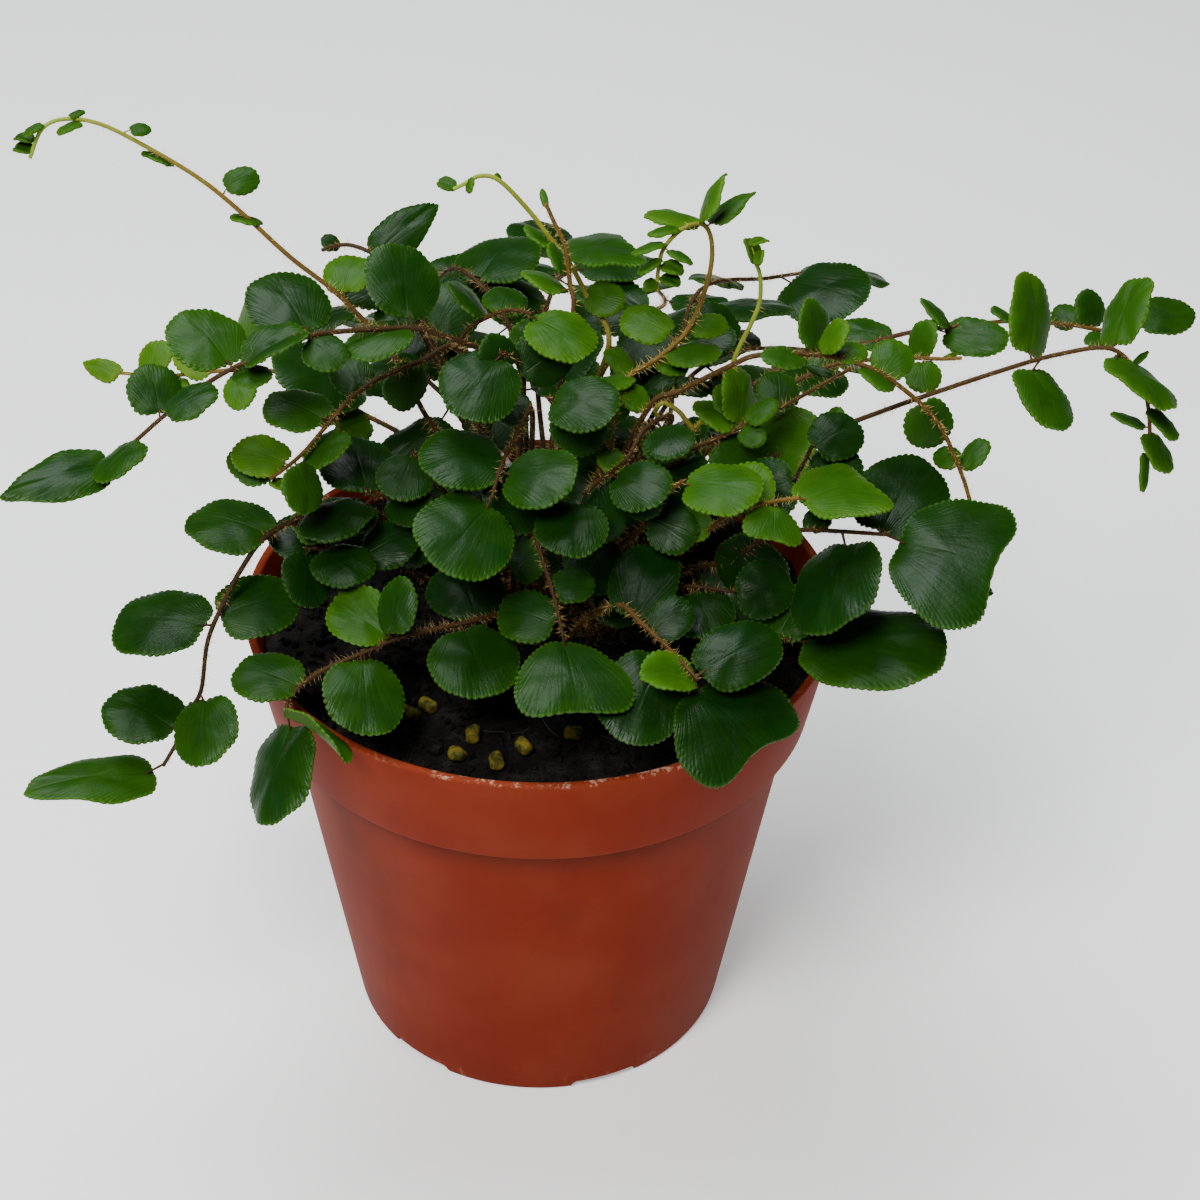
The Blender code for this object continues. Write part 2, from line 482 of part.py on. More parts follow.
def build_soil(group):
    """A loose-topped plug that follows the pot's inside, a hair's gap away."""
    band_foot = POT_HEIGHT - BAND_DEPTH
    shoulder = band_foot - SHOULDER_DROP
    slope = (LIP_RADIUS - LIP_WIDTH - BAND_FOOT_RADIUS + WALL) / (BAND_DEPTH - 1.4 * MM)
    top_radius = BAND_FOOT_RADIUS - WALL - SOIL_EASE + slope * (SOIL_LEVEL - 1.5 * MM - band_foot)
    profile = [
        (0, SOIL_LEVEL), (13 * MM, SOIL_LEVEL), (26 * MM, SOIL_LEVEL), (37 * MM, SOIL_LEVEL),
        (top_radius - 2 * MM, SOIL_LEVEL), (top_radius, SOIL_LEVEL - 1.5 * MM),
        (BAND_FOOT_RADIUS - WALL - SOIL_EASE, band_foot + 1.6 * MM),
        (BODY_TOP_RADIUS - WALL - SOIL_EASE, shoulder),
        (outer_radius(FLOOR) - WALL - SOIL_EASE, FLOOR + CLEARANCE), (0, FLOOR + CLEARANCE),
    ]
    soil = turned("soil", profile, group, SOIL_STEPS)
    bake_modifiers(soil)
    for vert in soil.data.vertices:
        if vert.co.z > SOIL_LEVEL - 0.1 * MM:
            vert.co.z = soil_height(vert.co.x, vert.co.y)
    soil.data.materials.append(make_material("peat"))
    return soil


def build_pellets(group, soil_tree):
    pellets = []
    for index, (column, row, turn) in enumerate(PELLETS):
        spot = on_soil(column, row)
        spread = math.hypot(spot.x, spot.y)
        spot *= min(1.0, PELLET_SPREAD / spread)
        bm = bmesh.new()
        bmesh.ops.create_cone(
            bm, cap_ends=True, segments=PELLET_SIDES, radius1=PELLET_RADIUS, radius2=PELLET_RADIUS,
            depth=PELLET_LENGTH)
        bmesh.ops.rotate(bm, matrix=Matrix.Rotation(math.pi / 2, 3, "X"), verts=bm.verts)
        bmesh.ops.rotate(bm, matrix=Matrix.Rotation(math.radians(turn), 3, "Z"), verts=bm.verts)
        bmesh.ops.translate(bm, vec=(spot.x, spot.y, 0), verts=bm.verts)
        lift = max(ground_under(soil_tree, vert.co) - vert.co.z for vert in bm.verts)
        bmesh.ops.translate(bm, vec=(0, 0, lift + 0.5 * CLEARANCE + SOIL_BUMP * 0.4), verts=bm.verts)
        pellets.append(object_from_bmesh(f"pellet_{index + 1}", bm, group, "feed_yellow"))
    return pellets


def ground_under(soil_tree, place):
    hit = soil_tree.ray_cast(Vector((place.x, place.y, POT_HEIGHT)), Vector((0, 0, -1)))[0]
    return hit.z


def on_soil(column, row):
    """Where the sight line through a column and row meets the soil."""
    near = -LIP_RADIUS
    far = LIP_RADIUS
    for _ in range(30):
        middle = (near + far) / 2
        place = sight(column, row, middle)
        if place.z > soil_height(place.x, place.y):
            near = middle
        else:
            far = middle
    return sight(column, row, near)


# Sight lines

forward = Vector((0, math.cos(EYE_ANGLE), -math.sin(EYE_ANGLE)))
level_up = Vector((0, math.sin(EYE_ANGLE), math.cos(EYE_ANGLE)))
picture_right = math.cos(EYE_ROLL) * Vector((1, 0, 0)) + math.sin(EYE_ROLL) * level_up
picture_up = -math.sin(EYE_ROLL) * Vector((1, 0, 0)) + math.cos(EYE_ROLL) * level_up
eye = Vector((0, 0, AIM_HEIGHT)) - forward * EYE_DISTANCE + picture_right * AIM_ACROSS + picture_up * AIM_UP


def sight(column, row, depth):
    """The point at a depth along Y on the sight line through a column and row."""
    ray = forward + picture_right * (column - PICTURE_MIDDLE) / SIGHT_SCALE
    ray += picture_up * (PICTURE_MIDDLE - row) / SIGHT_SCALE
    return eye + ray * ((depth - eye.y) / ray.y)


def seen(place):
    """The column and row at which a point is seen."""
    offset = place - eye
    scale = SIGHT_SCALE / offset.dot(forward)
    column = PICTURE_MIDDLE + scale * offset.dot(picture_right)
    row = PICTURE_MIDDLE - scale * offset.dot(picture_up)
    return Vector((column, row))


# Stems

def smooth_route(points, start_pull):
    """Points along a smooth curve through the given ones, about one STEM_STEP apart."""
    pulls = [start_pull]
    for before, after in zip(points, points[2:]):
        pulls.append((after - before) / 2)
    pulls.append((points[-1] - points[-2]) / 2)
    route = [points[0]]
    for index in range(len(points) - 1):
        start, end = points[index], points[index + 1]
        count = max(1, round((end - start).length / STEM_STEP))
        for step in range(1, count + 1):
            t = step / count
            place = start * (2 * t**3 - 3 * t**2 + 1) + pulls[index] * (t**3 - 2 * t**2 + t)
            place += end * (3 * t**2 - 2 * t**3) + pulls[index + 1] * (t**3 - t**2)
            route.append(place)
    return route


def root_points(root_x, root_y):
    ground = soil_height(root_x, root_y)
    low = Vector((root_x, root_y, ground - ROOT_DEPTH))
    top = Vector((root_x, root_y, ground + ROOT_RISE))
    return low, top


def route_through(root, picks):
    low, top = root_points(root[0], root[1])
    reach = (picks[0] - top).length
    return [low] + smooth_route([top] + picks, Vector((0, 0, reach * START_PULL)))


def stem_radius(share):
    return STEM_RADIUS + (TIP_RADIUS - STEM_RADIUS) * share


def nearest_on_segments(first_start, first_end, second_start, second_end):
    """The shortest distance between two straight pieces."""
    best = 1.0
    for step in range(13):
        place = first_start.lerp(first_end, step / 12)
        along = second_end - second_start
        t = max(0.0, min(1.0, (place - second_start).dot(along) / max(along.length_squared, 1e-12)))
        best = min(best, (place - second_start - along * t).length)
    return best


def routes_clear(route, others, spare):
    for other in others:
        for start, end in zip(route, route[1:]):
            middle = (start + end) / 2
            half = (end - start).length / 2
            for other_start, other_end in zip(other, other[1:]):
                span = half + (other_end - other_start).length / 2 + spare
                if (middle - (other_start + other_end) / 2).length > span:
                    continue
                if nearest_on_segments(start, end, other_start, other_end) < spare:
                    return False
    return True


def route_for(frond, others):
    """The stem's route, its unseen part bowed and its depth shifted until it is clear of every other stem."""
    root = (frond.root[0] * MM, frond.root[1] * MM)
    spare = 2 * STEM_RADIUS + STEM_ROOM
    for shift in DEPTH_SHIFTS:
        picks = [sight(column, row, (depth + shift) * MM) for column, row, depth in frond.stem]
        for bow_x, bow_y in BOWS:
            top = root_points(root[0], root[1])[1]
            lift = (picks[0] - top).length * BOW_LIFT
            guide = top.lerp(picks[0], 0.5) + Vector((bow_x * MM, bow_y * MM, lift))
            route = route_through(root, [guide] + picks)
            if routes_clear(route, others, spare):
                return route
    return route


def stem_section(group):
    """The three-sided section that a stem is swept with."""
    curve = bpy.data.curves.new("stem_section", "CURVE")
    curve.dimensions = "2D"
    spline = curve.splines.new("POLY")
    spline.points.add(STEM_SIDES - 1)
    spline.use_cyclic_u = True
    for index, point in enumerate(spline.points):
        turn = index * math.tau / STEM_SIDES
        point.co = (math.cos(turn), math.sin(turn), 0, 1)
    section = bpy.data.objects.new("stem_section", curve)
    group.objects.link(section)
    return section


def tube(name, route, section, group):
    """A stem: a tapering curve with filled ends, made a welded mesh."""
    curve = bpy.data.curves.new(name, "CURVE")
    curve.dimensions = "3D"
    curve.bevel_mode = "OBJECT"
    curve.bevel_object = section
    curve.use_fill_caps = True
    spline = curve.splines.new("POLY")
    spline.points.add(len(route) - 1)
    for index, (point, place) in enumerate(zip(spline.points, route)):
        point.co = (*place, 1)
        point.radius = stem_radius(index / (len(route) - 1))
    rail = bpy.data.objects.new(f"{name}_rail", curve)
    group.objects.link(rail)
    depsgraph = bpy.context.evaluated_depsgraph_get()
    mesh = bpy.data.meshes.new_from_object(rail.evaluated_get(depsgraph), depsgraph=depsgraph)
    bpy.data.objects.remove(rail)
    bm = bmesh.new()
    bm.from_mesh(mesh)
    bmesh.ops.remove_doubles(bm, verts=bm.verts, dist=0.01 * MM)
    bmesh.ops.recalc_face_normals(bm, faces=bm.faces)
    return object_from_bmesh(name, bm, group)


# Leaflets

Pose = namedtuple("Pose", "joint base along across face length breadth outline points")


def pose_from_picture(leaf, route, taken):
    """Stand a leaflet in space so that it is seen as it is in the picture, at a joint of its own."""
    base_seen = Vector((leaf.base_u, leaf.base_v))
    free = [place for place in dense(route[2:])[:-1] if place not in taken]
    joint = min(free, key=lambda place: (seen(place) - base_seen).length)
    taken.append(joint)
    base = sight(leaf.base_u, leaf.base_v, joint.y)
    scale = (base - eye).dot(forward) / SIGHT_SCALE
    across_u = (leaf.tip_u - leaf.base_u) * scale
    up_v = (leaf.base_v - leaf.tip_v) * scale
    seen_length = math.hypot(across_u, up_v)
    seen_breadth = leaf.breadth * scale
    outline = OUTLINES[leaf.form]
    length = max(seen_length, seen_breadth / outline.breadth)
    lean = max(LEAST_LEAN, math.acos(seen_length / length))
    length = max(length, seen_length / math.cos(lean))
    side = leaf.lean or (1 if up_v < 0 else -1)
    to_eye = (eye - base).normalized()
    along = (picture_right * across_u + picture_up * up_v) / seen_length * math.cos(lean)
    along += to_eye * math.sin(lean) * side
    along.normalize()
    face = (to_eye - along * to_eye.dot(along)).normalized()
    turn = max(LEAST_TURN, math.acos(min(1.0, seen_breadth / (length * outline.breadth))))
    turned_faces = [Matrix.Rotation(angle, 3, along) @ face for angle in (turn, -turn)]
    face = max(turned_faces, key=lambda choice: choice.z * leaf.turn)
    across = along.cross(face)
    breadth = max(length * outline.breadth, seen_breadth / math.cos(turn))
    return Pose(joint, base, along, across, face, length, breadth, outline, rim_count(length))


def dense(route):
    places = []
    for start, end in zip(route, route[1:]):
        places += [start.lerp(end, step / PLACES_PER_STEP) for step in range(PLACES_PER_STEP)]
    return places + [route[-1]]


def bent(pose, slide, tilt, turn, size):
    """The same leaflet slid along the sight line, tilted, turned about its midrib or made smaller."""
    tilt_matrix = Matrix.Rotation(tilt, 3, pose.across)
    along = tilt_matrix @ pose.along
    face = tilt_matrix @ pose.face
    face = Matrix.Rotation(turn, 3, along) @ face
    base = pose.base + (eye - pose.base).normalized() * slide
    return pose._replace(
        base=base, along=along, face=face, across=along.cross(face), length=pose.length * size,
        breadth=pose.breadth * size)


def rim_count(length):
    return next(count for least, count in RIM_POINTS if length > least)


def blade(pose, spare=0.0):
    """A leaflet as a closed bmesh: a scalloped disc with waved rim, given its thickness."""
    count = pose.points
    bm = bmesh.new()
    bmesh.ops.create_circle(bm, cap_ends=True, cap_tris=True, segments=count, radius=1)
    outline = pose.outline
    thickness = BLADE_THICKNESS + 2 * spare
    grow = 1 + 2 * spare / pose.length
    for vert in bm.verts:
        side, ahead = vert.co.x, vert.co.y
        radius = math.hypot(side, ahead)
        angle = math.atan2(side, ahead)
        number = round(angle / math.tau * count)
        scallop = 1 + (SCALLOP if number % 2 else -SCALLOP)
        notch = 1 - outline.notch * math.exp(-(angle / NOTCH_SPREAD) ** 2)
        u = 0.5 + 0.5 * math.cos(angle) * radius * scallop * notch * grow
        full = math.copysign(abs(math.sin(angle)) ** outline.fullness, angle)
        v = 0.5 * full * radius * scallop * grow * (1 + outline.forward * math.cos(angle) * FORWARD_GAIN)
        bow = -CUP * ((2 * u - 1) ** 2 + (2 * v) ** 2)
        bow += outline.fold * abs(v) * outline.breadth
        bow += WAVE * math.cos(angle * 3 + pose.length / MM) * radius
        place = pose.base + pose.along * (u * pose.length) + pose.across * (v * pose.breadth)
        place += pose.face * (bow * pose.length + thickness / 2)
        if radius > 0.5 and abs(number) * 2 == count and not spare:
            place = pose.joint + pose.face * (NECK_THICKNESS / 2)
        vert.co = place
    grown = bmesh.ops.extrude_face_region(bm, geom=bm.faces[:])["geom"]
    lower = [item for item in grown if isinstance(item, bmesh.types.BMVert)]
    neck = [vert for vert in lower if (vert.co - pose.joint).length < NECK_THICKNESS]
    bmesh.ops.translate(bm, vec=-pose.face * thickness, verts=lower)
    bmesh.ops.translate(bm, vec=pose.face * (thickness - NECK_THICKNESS), verts=neck)
    bmesh.ops.recalc_face_normals(bm, faces=bm.faces)
    return bm


def bounds_of(bm):
    low = Vector([min(vert.co[axis] for vert in bm.verts) for axis in range(3)])
    high = Vector([max(vert.co[axis] for vert in bm.verts) for axis in range(3)])
    return low, high


def boxes_meet(first, second):
    return all(first[0][axis] <= second[1][axis] and second[0][axis] <= first[1][axis] for axis in range(3))


def obstacle(owner, bm):
    return owner, bounds_of(bm), BVHTree.FromBMesh(bm)


def blocked(bm, owner, obstacles):
    tree = None
    box = bounds_of(bm)
    for other_owner, other_box, other_tree in obstacles:
        if other_owner == owner or not boxes_meet(box, other_box):
            continue
        if tree is None:
            tree = BVHTree.FromBMesh(bm)
        if tree.overlap(other_tree):
            return True
    return False


def tries():
    """Ways to bend a leaflet clear, from the least change to the most."""
    yield 0.0, 0.0, 0.0, 1.0
    for size in (1.0, 0.92, 0.82):
        for angle in (10, -10, 20, -20, 32, -32, 45, -45):
            for slide in (0.0, 1.5 * MM, -1.5 * MM, 3 * MM, -3 * MM):
                yield slide, math.radians(angle), 0.0, size
                yield slide, 0.0, math.radians(angle), size
                yield slide, math.radians(angle), math.radians(angle) * 0.7, size
    for angle in (60, -60):
        yield 0.0, math.radians(angle), 0.0, 0.7


def settle(pose, owner, obstacles, siblings):
    """The first way of holding a leaflet clear of other fronds, and of its own if it can be, or None."""
    crowded = None
    for number, (slide, tilt, turn, size) in enumerate(tries()):
        if crowded and number > SIBLING_TRIES:
            break
        choice = bent(pose, slide, tilt, turn, size)
        thick = blade(choice, SPARE)
        stuck = blocked(thick, owner, obstacles)
        crossed = not stuck and blocked(thick, None, siblings)
        thick.free()
        if not stuck:
            real = blade(choice)
            stuck = blocked(real, owner, obstacles)
            real.free()
        if not stuck and not crossed:
            return choice
        if not stuck and not crowded:
            crowded = choice
    return crowded


# Hidden fronds

def rear_fronds(others):
    """Arching fronds behind the crown, with leaflets in alternating pairs."""
    rng = random.Random(REAR_SEED)
    fronds = []
    for index in range(REAR_COUNT):
        share = (index + 0.5) / REAR_COUNT
        heading = REAR_FIRST + REAR_SWEEP * share
        for _ in range(REAR_TRIES):
            turn = heading + rng.uniform(-REAR_TURN, REAR_TURN)
            reach = rng.uniform(*REAR_REACH)
            peak = rng.uniform(*REAR_PEAK)
            out = Vector((math.cos(turn), math.sin(turn), 0))
            start = REAR_MIDDLE + out * REAR_RING * (1 + index % 3 / 3)
            droop = rng.uniform(*REAR_DROOP)
            picks = []
            for part, rise in ((0.25, 0.8), (0.5, 1.0), (0.78, 0.8), (1.0, 0.0)):
                sway = out.cross(Vector((0, 0, 1))) * rng.uniform(-REAR_SWAY, REAR_SWAY)
                height = SOIL_LEVEL + (peak - SOIL_LEVEL) * rise
                if part > 0.5:
                    height = peak - droop * (part - 0.5) * 1.6
                picks.append(Vector((start.x, start.y, height)) + out * reach * part + sway)
            route = route_through((start.x, start.y), picks)
            if routes_clear(route, others, 2 * STEM_RADIUS + STEM_ROOM):
                break
        fronds.append((f"frond_rear_{index + 1}", route, rear_poses(route, rng)))
        others.append(route)
    return fronds


def rear_poses(route, rng):
    places = dense(route)
    span = len(places) - 2
    poses = []
    for number in range(REAR_LEAFLETS + 1):
        at = round(span * (REAR_BARE + (1 - REAR_BARE) * number / REAR_LEAFLETS))
        place = places[at]
        onward = (places[min(span, at + 3)] - places[max(0, at - 3)]).normalized()
        side = onward.cross(Vector((0, 0, 1))).normalized() * (1 if number % 2 else -1)
        last = number == REAR_LEAFLETS
        along = onward if last else side + onward * rng.uniform(0.1, 0.5)
        along = along + Vector((0, 0, rng.uniform(-0.5, 0.35)))
        along.normalize()
        face = Vector((rng.uniform(-0.4, 0.4), rng.uniform(-0.4, 0.4), 1))
        face = (face - along * face.dot(along)).normalized()
        outline = OUTLINES[rng.choice(("round", "round", "oval"))]
        length = rng.uniform(*REAR_LEAF_LENGTH)
        base = place + along * REAR_STALK
        breadth = length * outline.breadth
        across = along.cross(face)
        poses.append(Pose(place, base, along, across, face, length, breadth, outline, REAR_RIM_POINTS))
    return poses


# Assembly

def join_frond(name, stem, blades, group, workshop):
    """Fuse a stem and its leaflets into one body."""
    parts = bpy.data.collections.new(f"{name}_parts")
    workshop.children.link(parts)
    for index, bm in enumerate(blades):
        object_from_bmesh(f"{name}_leaf_{index}", bm, parts)
    workshop.objects.unlink(stem)
    group.objects.link(stem)
    if blades:
        union = stem.modifiers.new("union", "BOOLEAN")
        union.operation = "UNION"
        union.solver = "MANIFOLD"
        union.operand_type = "COLLECTION"
        union.collection = parts
        bake_modifiers(stem)
    for obj in list(parts.objects):
        bpy.data.objects.remove(obj)
    bpy.data.collections.remove(parts)
    stem.data.materials.clear()
    young = name.startswith("fiddlehead")
    stem.data.materials.append(make_material("young_green" if young else "leaf_green"))
    return stem


def main():
    clear_scene()
    group = new_collection("potted_button_fern")
    cutters = new_collection("cutters")
    workshop = new_collection("workshop")
    pot = build_pot(group, cutters)
    bake_modifiers(pot)
    for cutter in list(cutters.objects):
        bpy.data.objects.remove(cutter)
    soil = build_soil(group)

    obstacles = []
    for solid in (pot, soil):
        bm = bmesh.new()
        bm.from_mesh(solid.data)
        obstacles.append(obstacle(solid.name, bm))
        bm.free()
    for pellet in build_pellets(group, obstacles[1][2]):
        bm = bmesh.new()
        bm.from_mesh(pellet.data)
        obstacles.append(obstacle(pellet.name, bm))
        bm.free()

    routes = []
    plants = []
    for frond in FRONDS:
        route = route_for(frond, routes)
        routes.append(route)
        taken = []
        plants.append((frond.name, route, [pose_from_picture(leaf, route, taken) for leaf in frond.leaves]))
    plants += rear_fronds(routes)

    stems = []
    section = stem_section(workshop)
    for name, route, _ in plants:
        stem = tube(name, route, section, workshop)
        stems.append(stem)
        bm = bmesh.new()
        bm.from_mesh(stem.data)
        obstacles.append(obstacle(name, bm))
        bm.free()

    bpy.data.objects.remove(section)

    kept = {}
    for name, route, poses in plants:
        kept[name] = []
        siblings = []
        for pose in poses:
            choice = settle(pose, name, obstacles, siblings)
            if choice is None:
                continue
            kept[name].append(choice)
            bm = blade(choice)
            obstacles.append(obstacle(name, bm))
            bm.free()
            bm = blade(choice, SIBLING_SPARE)
            siblings.append(obstacle(name, bm))
            bm.free()
    for (name, route, _), stem in zip(plants, stems):
        join_frond(name, stem, [blade(pose) for pose in kept[name]], group, workshop)

    for name, route, _ in plants:
        bm = bmesh.new()
        bmesh.ops.create_cone(
            bm, cap_ends=True, segments=HOLE_SIDES, radius1=HOLE_RADIUS, radius2=HOLE_RADIUS,
            depth=2 * (ROOT_DEPTH + CLEARANCE))
        bmesh.ops.translate(bm, vec=(route[0].x, route[0].y, route[0].z + ROOT_DEPTH), verts=bm.verts)
        hole = object_from_bmesh(f"hole_{name}", bm, cutters)
        hide_cutter(hole)
    boolean = soil.modifiers.new("holes", "BOOLEAN")
    boolean.operation = "DIFFERENCE"
    boolean.operand_type = "COLLECTION"
    boolean.collection = cutters
    for obj in group.objects:
        if obj.name.startswith(("frond", "fiddlehead", "soil")):
            obj.data.shade_smooth()
            obj.data.set_sharp_from_angle(angle=SHARP_BLADE)
    pot.data.shade_smooth()
    pot.data.set_sharp_from_angle(angle=SHARP_POT)


main()
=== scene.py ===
import json
import math
import random
from collections import namedtuple
from itertools import product

import bmesh
import bpy
from mathutils import Matrix, Vector, kdtree, noise
from mathutils.bvhtree import BVHTree

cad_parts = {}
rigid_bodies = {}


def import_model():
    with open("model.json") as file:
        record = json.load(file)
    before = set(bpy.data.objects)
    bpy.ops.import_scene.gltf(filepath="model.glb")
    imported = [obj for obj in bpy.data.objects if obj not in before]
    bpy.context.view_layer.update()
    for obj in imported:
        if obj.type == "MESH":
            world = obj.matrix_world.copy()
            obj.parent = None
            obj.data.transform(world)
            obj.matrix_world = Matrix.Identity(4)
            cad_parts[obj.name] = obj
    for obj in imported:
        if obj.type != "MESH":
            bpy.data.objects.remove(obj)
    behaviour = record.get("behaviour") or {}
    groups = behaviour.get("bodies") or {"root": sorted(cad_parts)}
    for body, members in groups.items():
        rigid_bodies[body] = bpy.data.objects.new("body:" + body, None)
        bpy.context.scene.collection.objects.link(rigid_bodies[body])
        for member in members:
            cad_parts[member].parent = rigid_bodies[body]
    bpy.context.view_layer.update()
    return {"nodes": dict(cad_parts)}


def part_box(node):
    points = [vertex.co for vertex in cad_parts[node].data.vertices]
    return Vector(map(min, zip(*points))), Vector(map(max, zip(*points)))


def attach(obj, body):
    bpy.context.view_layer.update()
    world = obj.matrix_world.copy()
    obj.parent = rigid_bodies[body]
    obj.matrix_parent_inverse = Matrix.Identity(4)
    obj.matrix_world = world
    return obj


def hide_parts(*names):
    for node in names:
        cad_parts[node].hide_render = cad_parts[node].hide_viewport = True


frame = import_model()
mm = 0.001


# Shader maths: a socket that takes part in sums, and a graph that adds every other node
class Value:
    def __init__(self, graph, socket):
        self.graph = graph
        self.socket = socket

    def maths(self, operation, first, second=0.0, clamp=False):
        return self.graph.add("ShaderNodeMath", {0: first, 1: second}, operation=operation, use_clamp=clamp)

    def __add__(self, other):
        return self.maths("ADD", self, other)

    def __radd__(self, other):
        return self.maths("ADD", other, self)

    def __sub__(self, other):
        return self.maths("SUBTRACT", self, other)

    def __rsub__(self, other):
        return self.maths("SUBTRACT", other, self)

    def __mul__(self, other):
        return self.maths("MULTIPLY", self, other)

    def __rmul__(self, other):
        return self.maths("MULTIPLY", other, self)

    def __truediv__(self, other):
        return self.maths("DIVIDE", self, other)

    def __pow__(self, other):
        return self.maths("POWER", self, other)

    def sine(self):
        return self.maths("SINE", self)

    def size(self):
        return self.maths("ABSOLUTE", self)

    def turnFrom(self, other):
        return self.maths("ARCTAN2", self, other)

    def clipped(self):
        return self.maths("ADD", self, clamp=True)

    def step(self, low, high):
        sockets = {"Value": self, "From Min": low, "From Max": high}
        return self.graph.add("ShaderNodeMapRange", sockets, interpolation_type="SMOOTHSTEP")


class Graph:
    def __init__(self, name):
        self.material = bpy.data.materials.new(name)
        self.material.use_nodes = True
        self.tree = self.material.node_tree
        self.shader = self.tree.nodes["Principled BSDF"]

    def add(self, kind, sockets=None, output=0, **settings):
        node = self.tree.nodes.new(kind)
        for name, setting in settings.items():
            setattr(node, name, setting)
        for key, content in (sockets or {}).items():
            self.feed(node.inputs[key], content)
        return Value(self, node.outputs[output])

    def feed(self, socket, content):
        if isinstance(content, Value):
            self.tree.links.new(content.socket, socket)
        elif isinstance(content, tuple) and socket.type == "RGBA":
            socket.default_value = (*content, 1)
        else:
            socket.default_value = content

    def place(self, stretch=(1, 1, 1)):
        spot = self.add("ShaderNodeTexCoord", output="Object")
        return self.add("ShaderNodeMapping", {"Vector": spot, "Scale": stretch})

    def height(self):
        return self.add("ShaderNodeSeparateXYZ", {0: self.place()}, "Z")

    def cloud(self, scale, detail=4, rough=0.55, stretch=(1, 1, 1)):
        sockets = {"Vector": self.place(stretch), "Scale": scale, "Detail": detail, "Roughness": rough}
        return self.add("ShaderNodeTexNoise", sockets)

    def strands(self, across, along, seed):
        spot = self.add("ShaderNodeCombineXYZ", {"X": across, "Y": along, "Z": seed})
        return self.add("ShaderNodeTexNoise", {"Vector": spot, "Scale": 1, "Detail": 3, "Roughness": 0.5})

    def cells(self, scale):
        return self.add("ShaderNodeTexVoronoi", {"Vector": self.place(), "Scale": scale})

    def own(self, name):
        return self.add("ShaderNodeAttribute", output="Fac", attribute_name=name)

    def mix(self, factor, first, second):
        return self.add("ShaderNodeMix", {0: factor, 6: first, 7: second}, 2, data_type="RGBA")

    def ramp(self, factor, stops):
        value = self.add("ShaderNodeValToRGB", {0: factor})
        elements = value.socket.node.color_ramp.elements
        while len(elements) < len(stops):
            elements.new(1)
        for element, (place, colour) in zip(elements, stops):
            element.position = place
            element.color = (*colour, 1)
        return value

    def bump(self, height, strength, distance):
        return self.add("ShaderNodeBump", {"Height": height, "Strength": strength, "Distance": distance})

    def finish(self, **sockets):
        words = {"colour": "Base Color", "roughness": "Roughness", "normal": "Normal",
                 "gloss": "Specular IOR Level", "glow": "Emission Color", "glowStrength": "Emission Strength"}
        for name, content in sockets.items():
            self.feed(self.shader.inputs[words[name]], content)
        return self.material


# Sight lines: a place on a frond is read as a column and a row of the square picture, and a depth along Y
view = {
    "middle": 600, "scale": 2611.5, "tilt": math.radians(35.96), "roll": math.radians(1.2),
    "distance": 0.5, "aimHeight": 0.045, "aimAcross": 0.01142, "aimUp": 0.03587,
}
ahead = Vector((0, math.cos(view["tilt"]), -math.sin(view["tilt"])))
levelUp = Vector((0, math.sin(view["tilt"]), math.cos(view["tilt"])))
pictureRight = math.cos(view["roll"]) * Vector((1, 0, 0)) + math.sin(view["roll"]) * levelUp
pictureUp = -math.sin(view["roll"]) * Vector((1, 0, 0)) + math.cos(view["roll"]) * levelUp
eye = Vector((0, 0, view["aimHeight"])) - ahead * view["distance"]
eye += pictureRight * view["aimAcross"] + pictureUp * view["aimUp"]


def sight(column, row, depth):
    # the point at a depth along Y on the sight line through a column and row
    ray = ahead + pictureRight * (column - view["middle"]) / view["scale"]
    ray += pictureUp * (view["middle"] - row) / view["scale"]
    return eye + ray * ((depth - eye.y) / ray.y)


def seen(place):
    # the column and row at which a place is seen
    offset = place - eye
    scale = view["scale"] / offset.dot(ahead)
    across, up = offset.dot(pictureRight), offset.dot(pictureUp)
    return Vector((view["middle"] + scale * across, view["middle"] - scale * up))


# Camera, floor and soft studio light
studio = {
    "sensor": 36, "nearClip": 0.01, "farClip": 60,
    "floorColour": (0.86, 0.86, 0.86), "floorGrain": 0.985, "floorGlow": 0.5, "floorReach": 20.0,
    "skyColour": (0.90, 0.95, 1.0), "skyStrength": 0.05, "lampAim": Vector((0, 0, 0.08)),
    "lamps": (
        # name, place, size, watts, colour
        ("above", (-0.20, 0.22, 1.0), 0.6, 12, (0.95, 0.98, 1.0)),
        ("front", (-0.25, -0.65, 0.95), 0.4, 15, (1.0, 0.99, 0.97)),
    ),
}


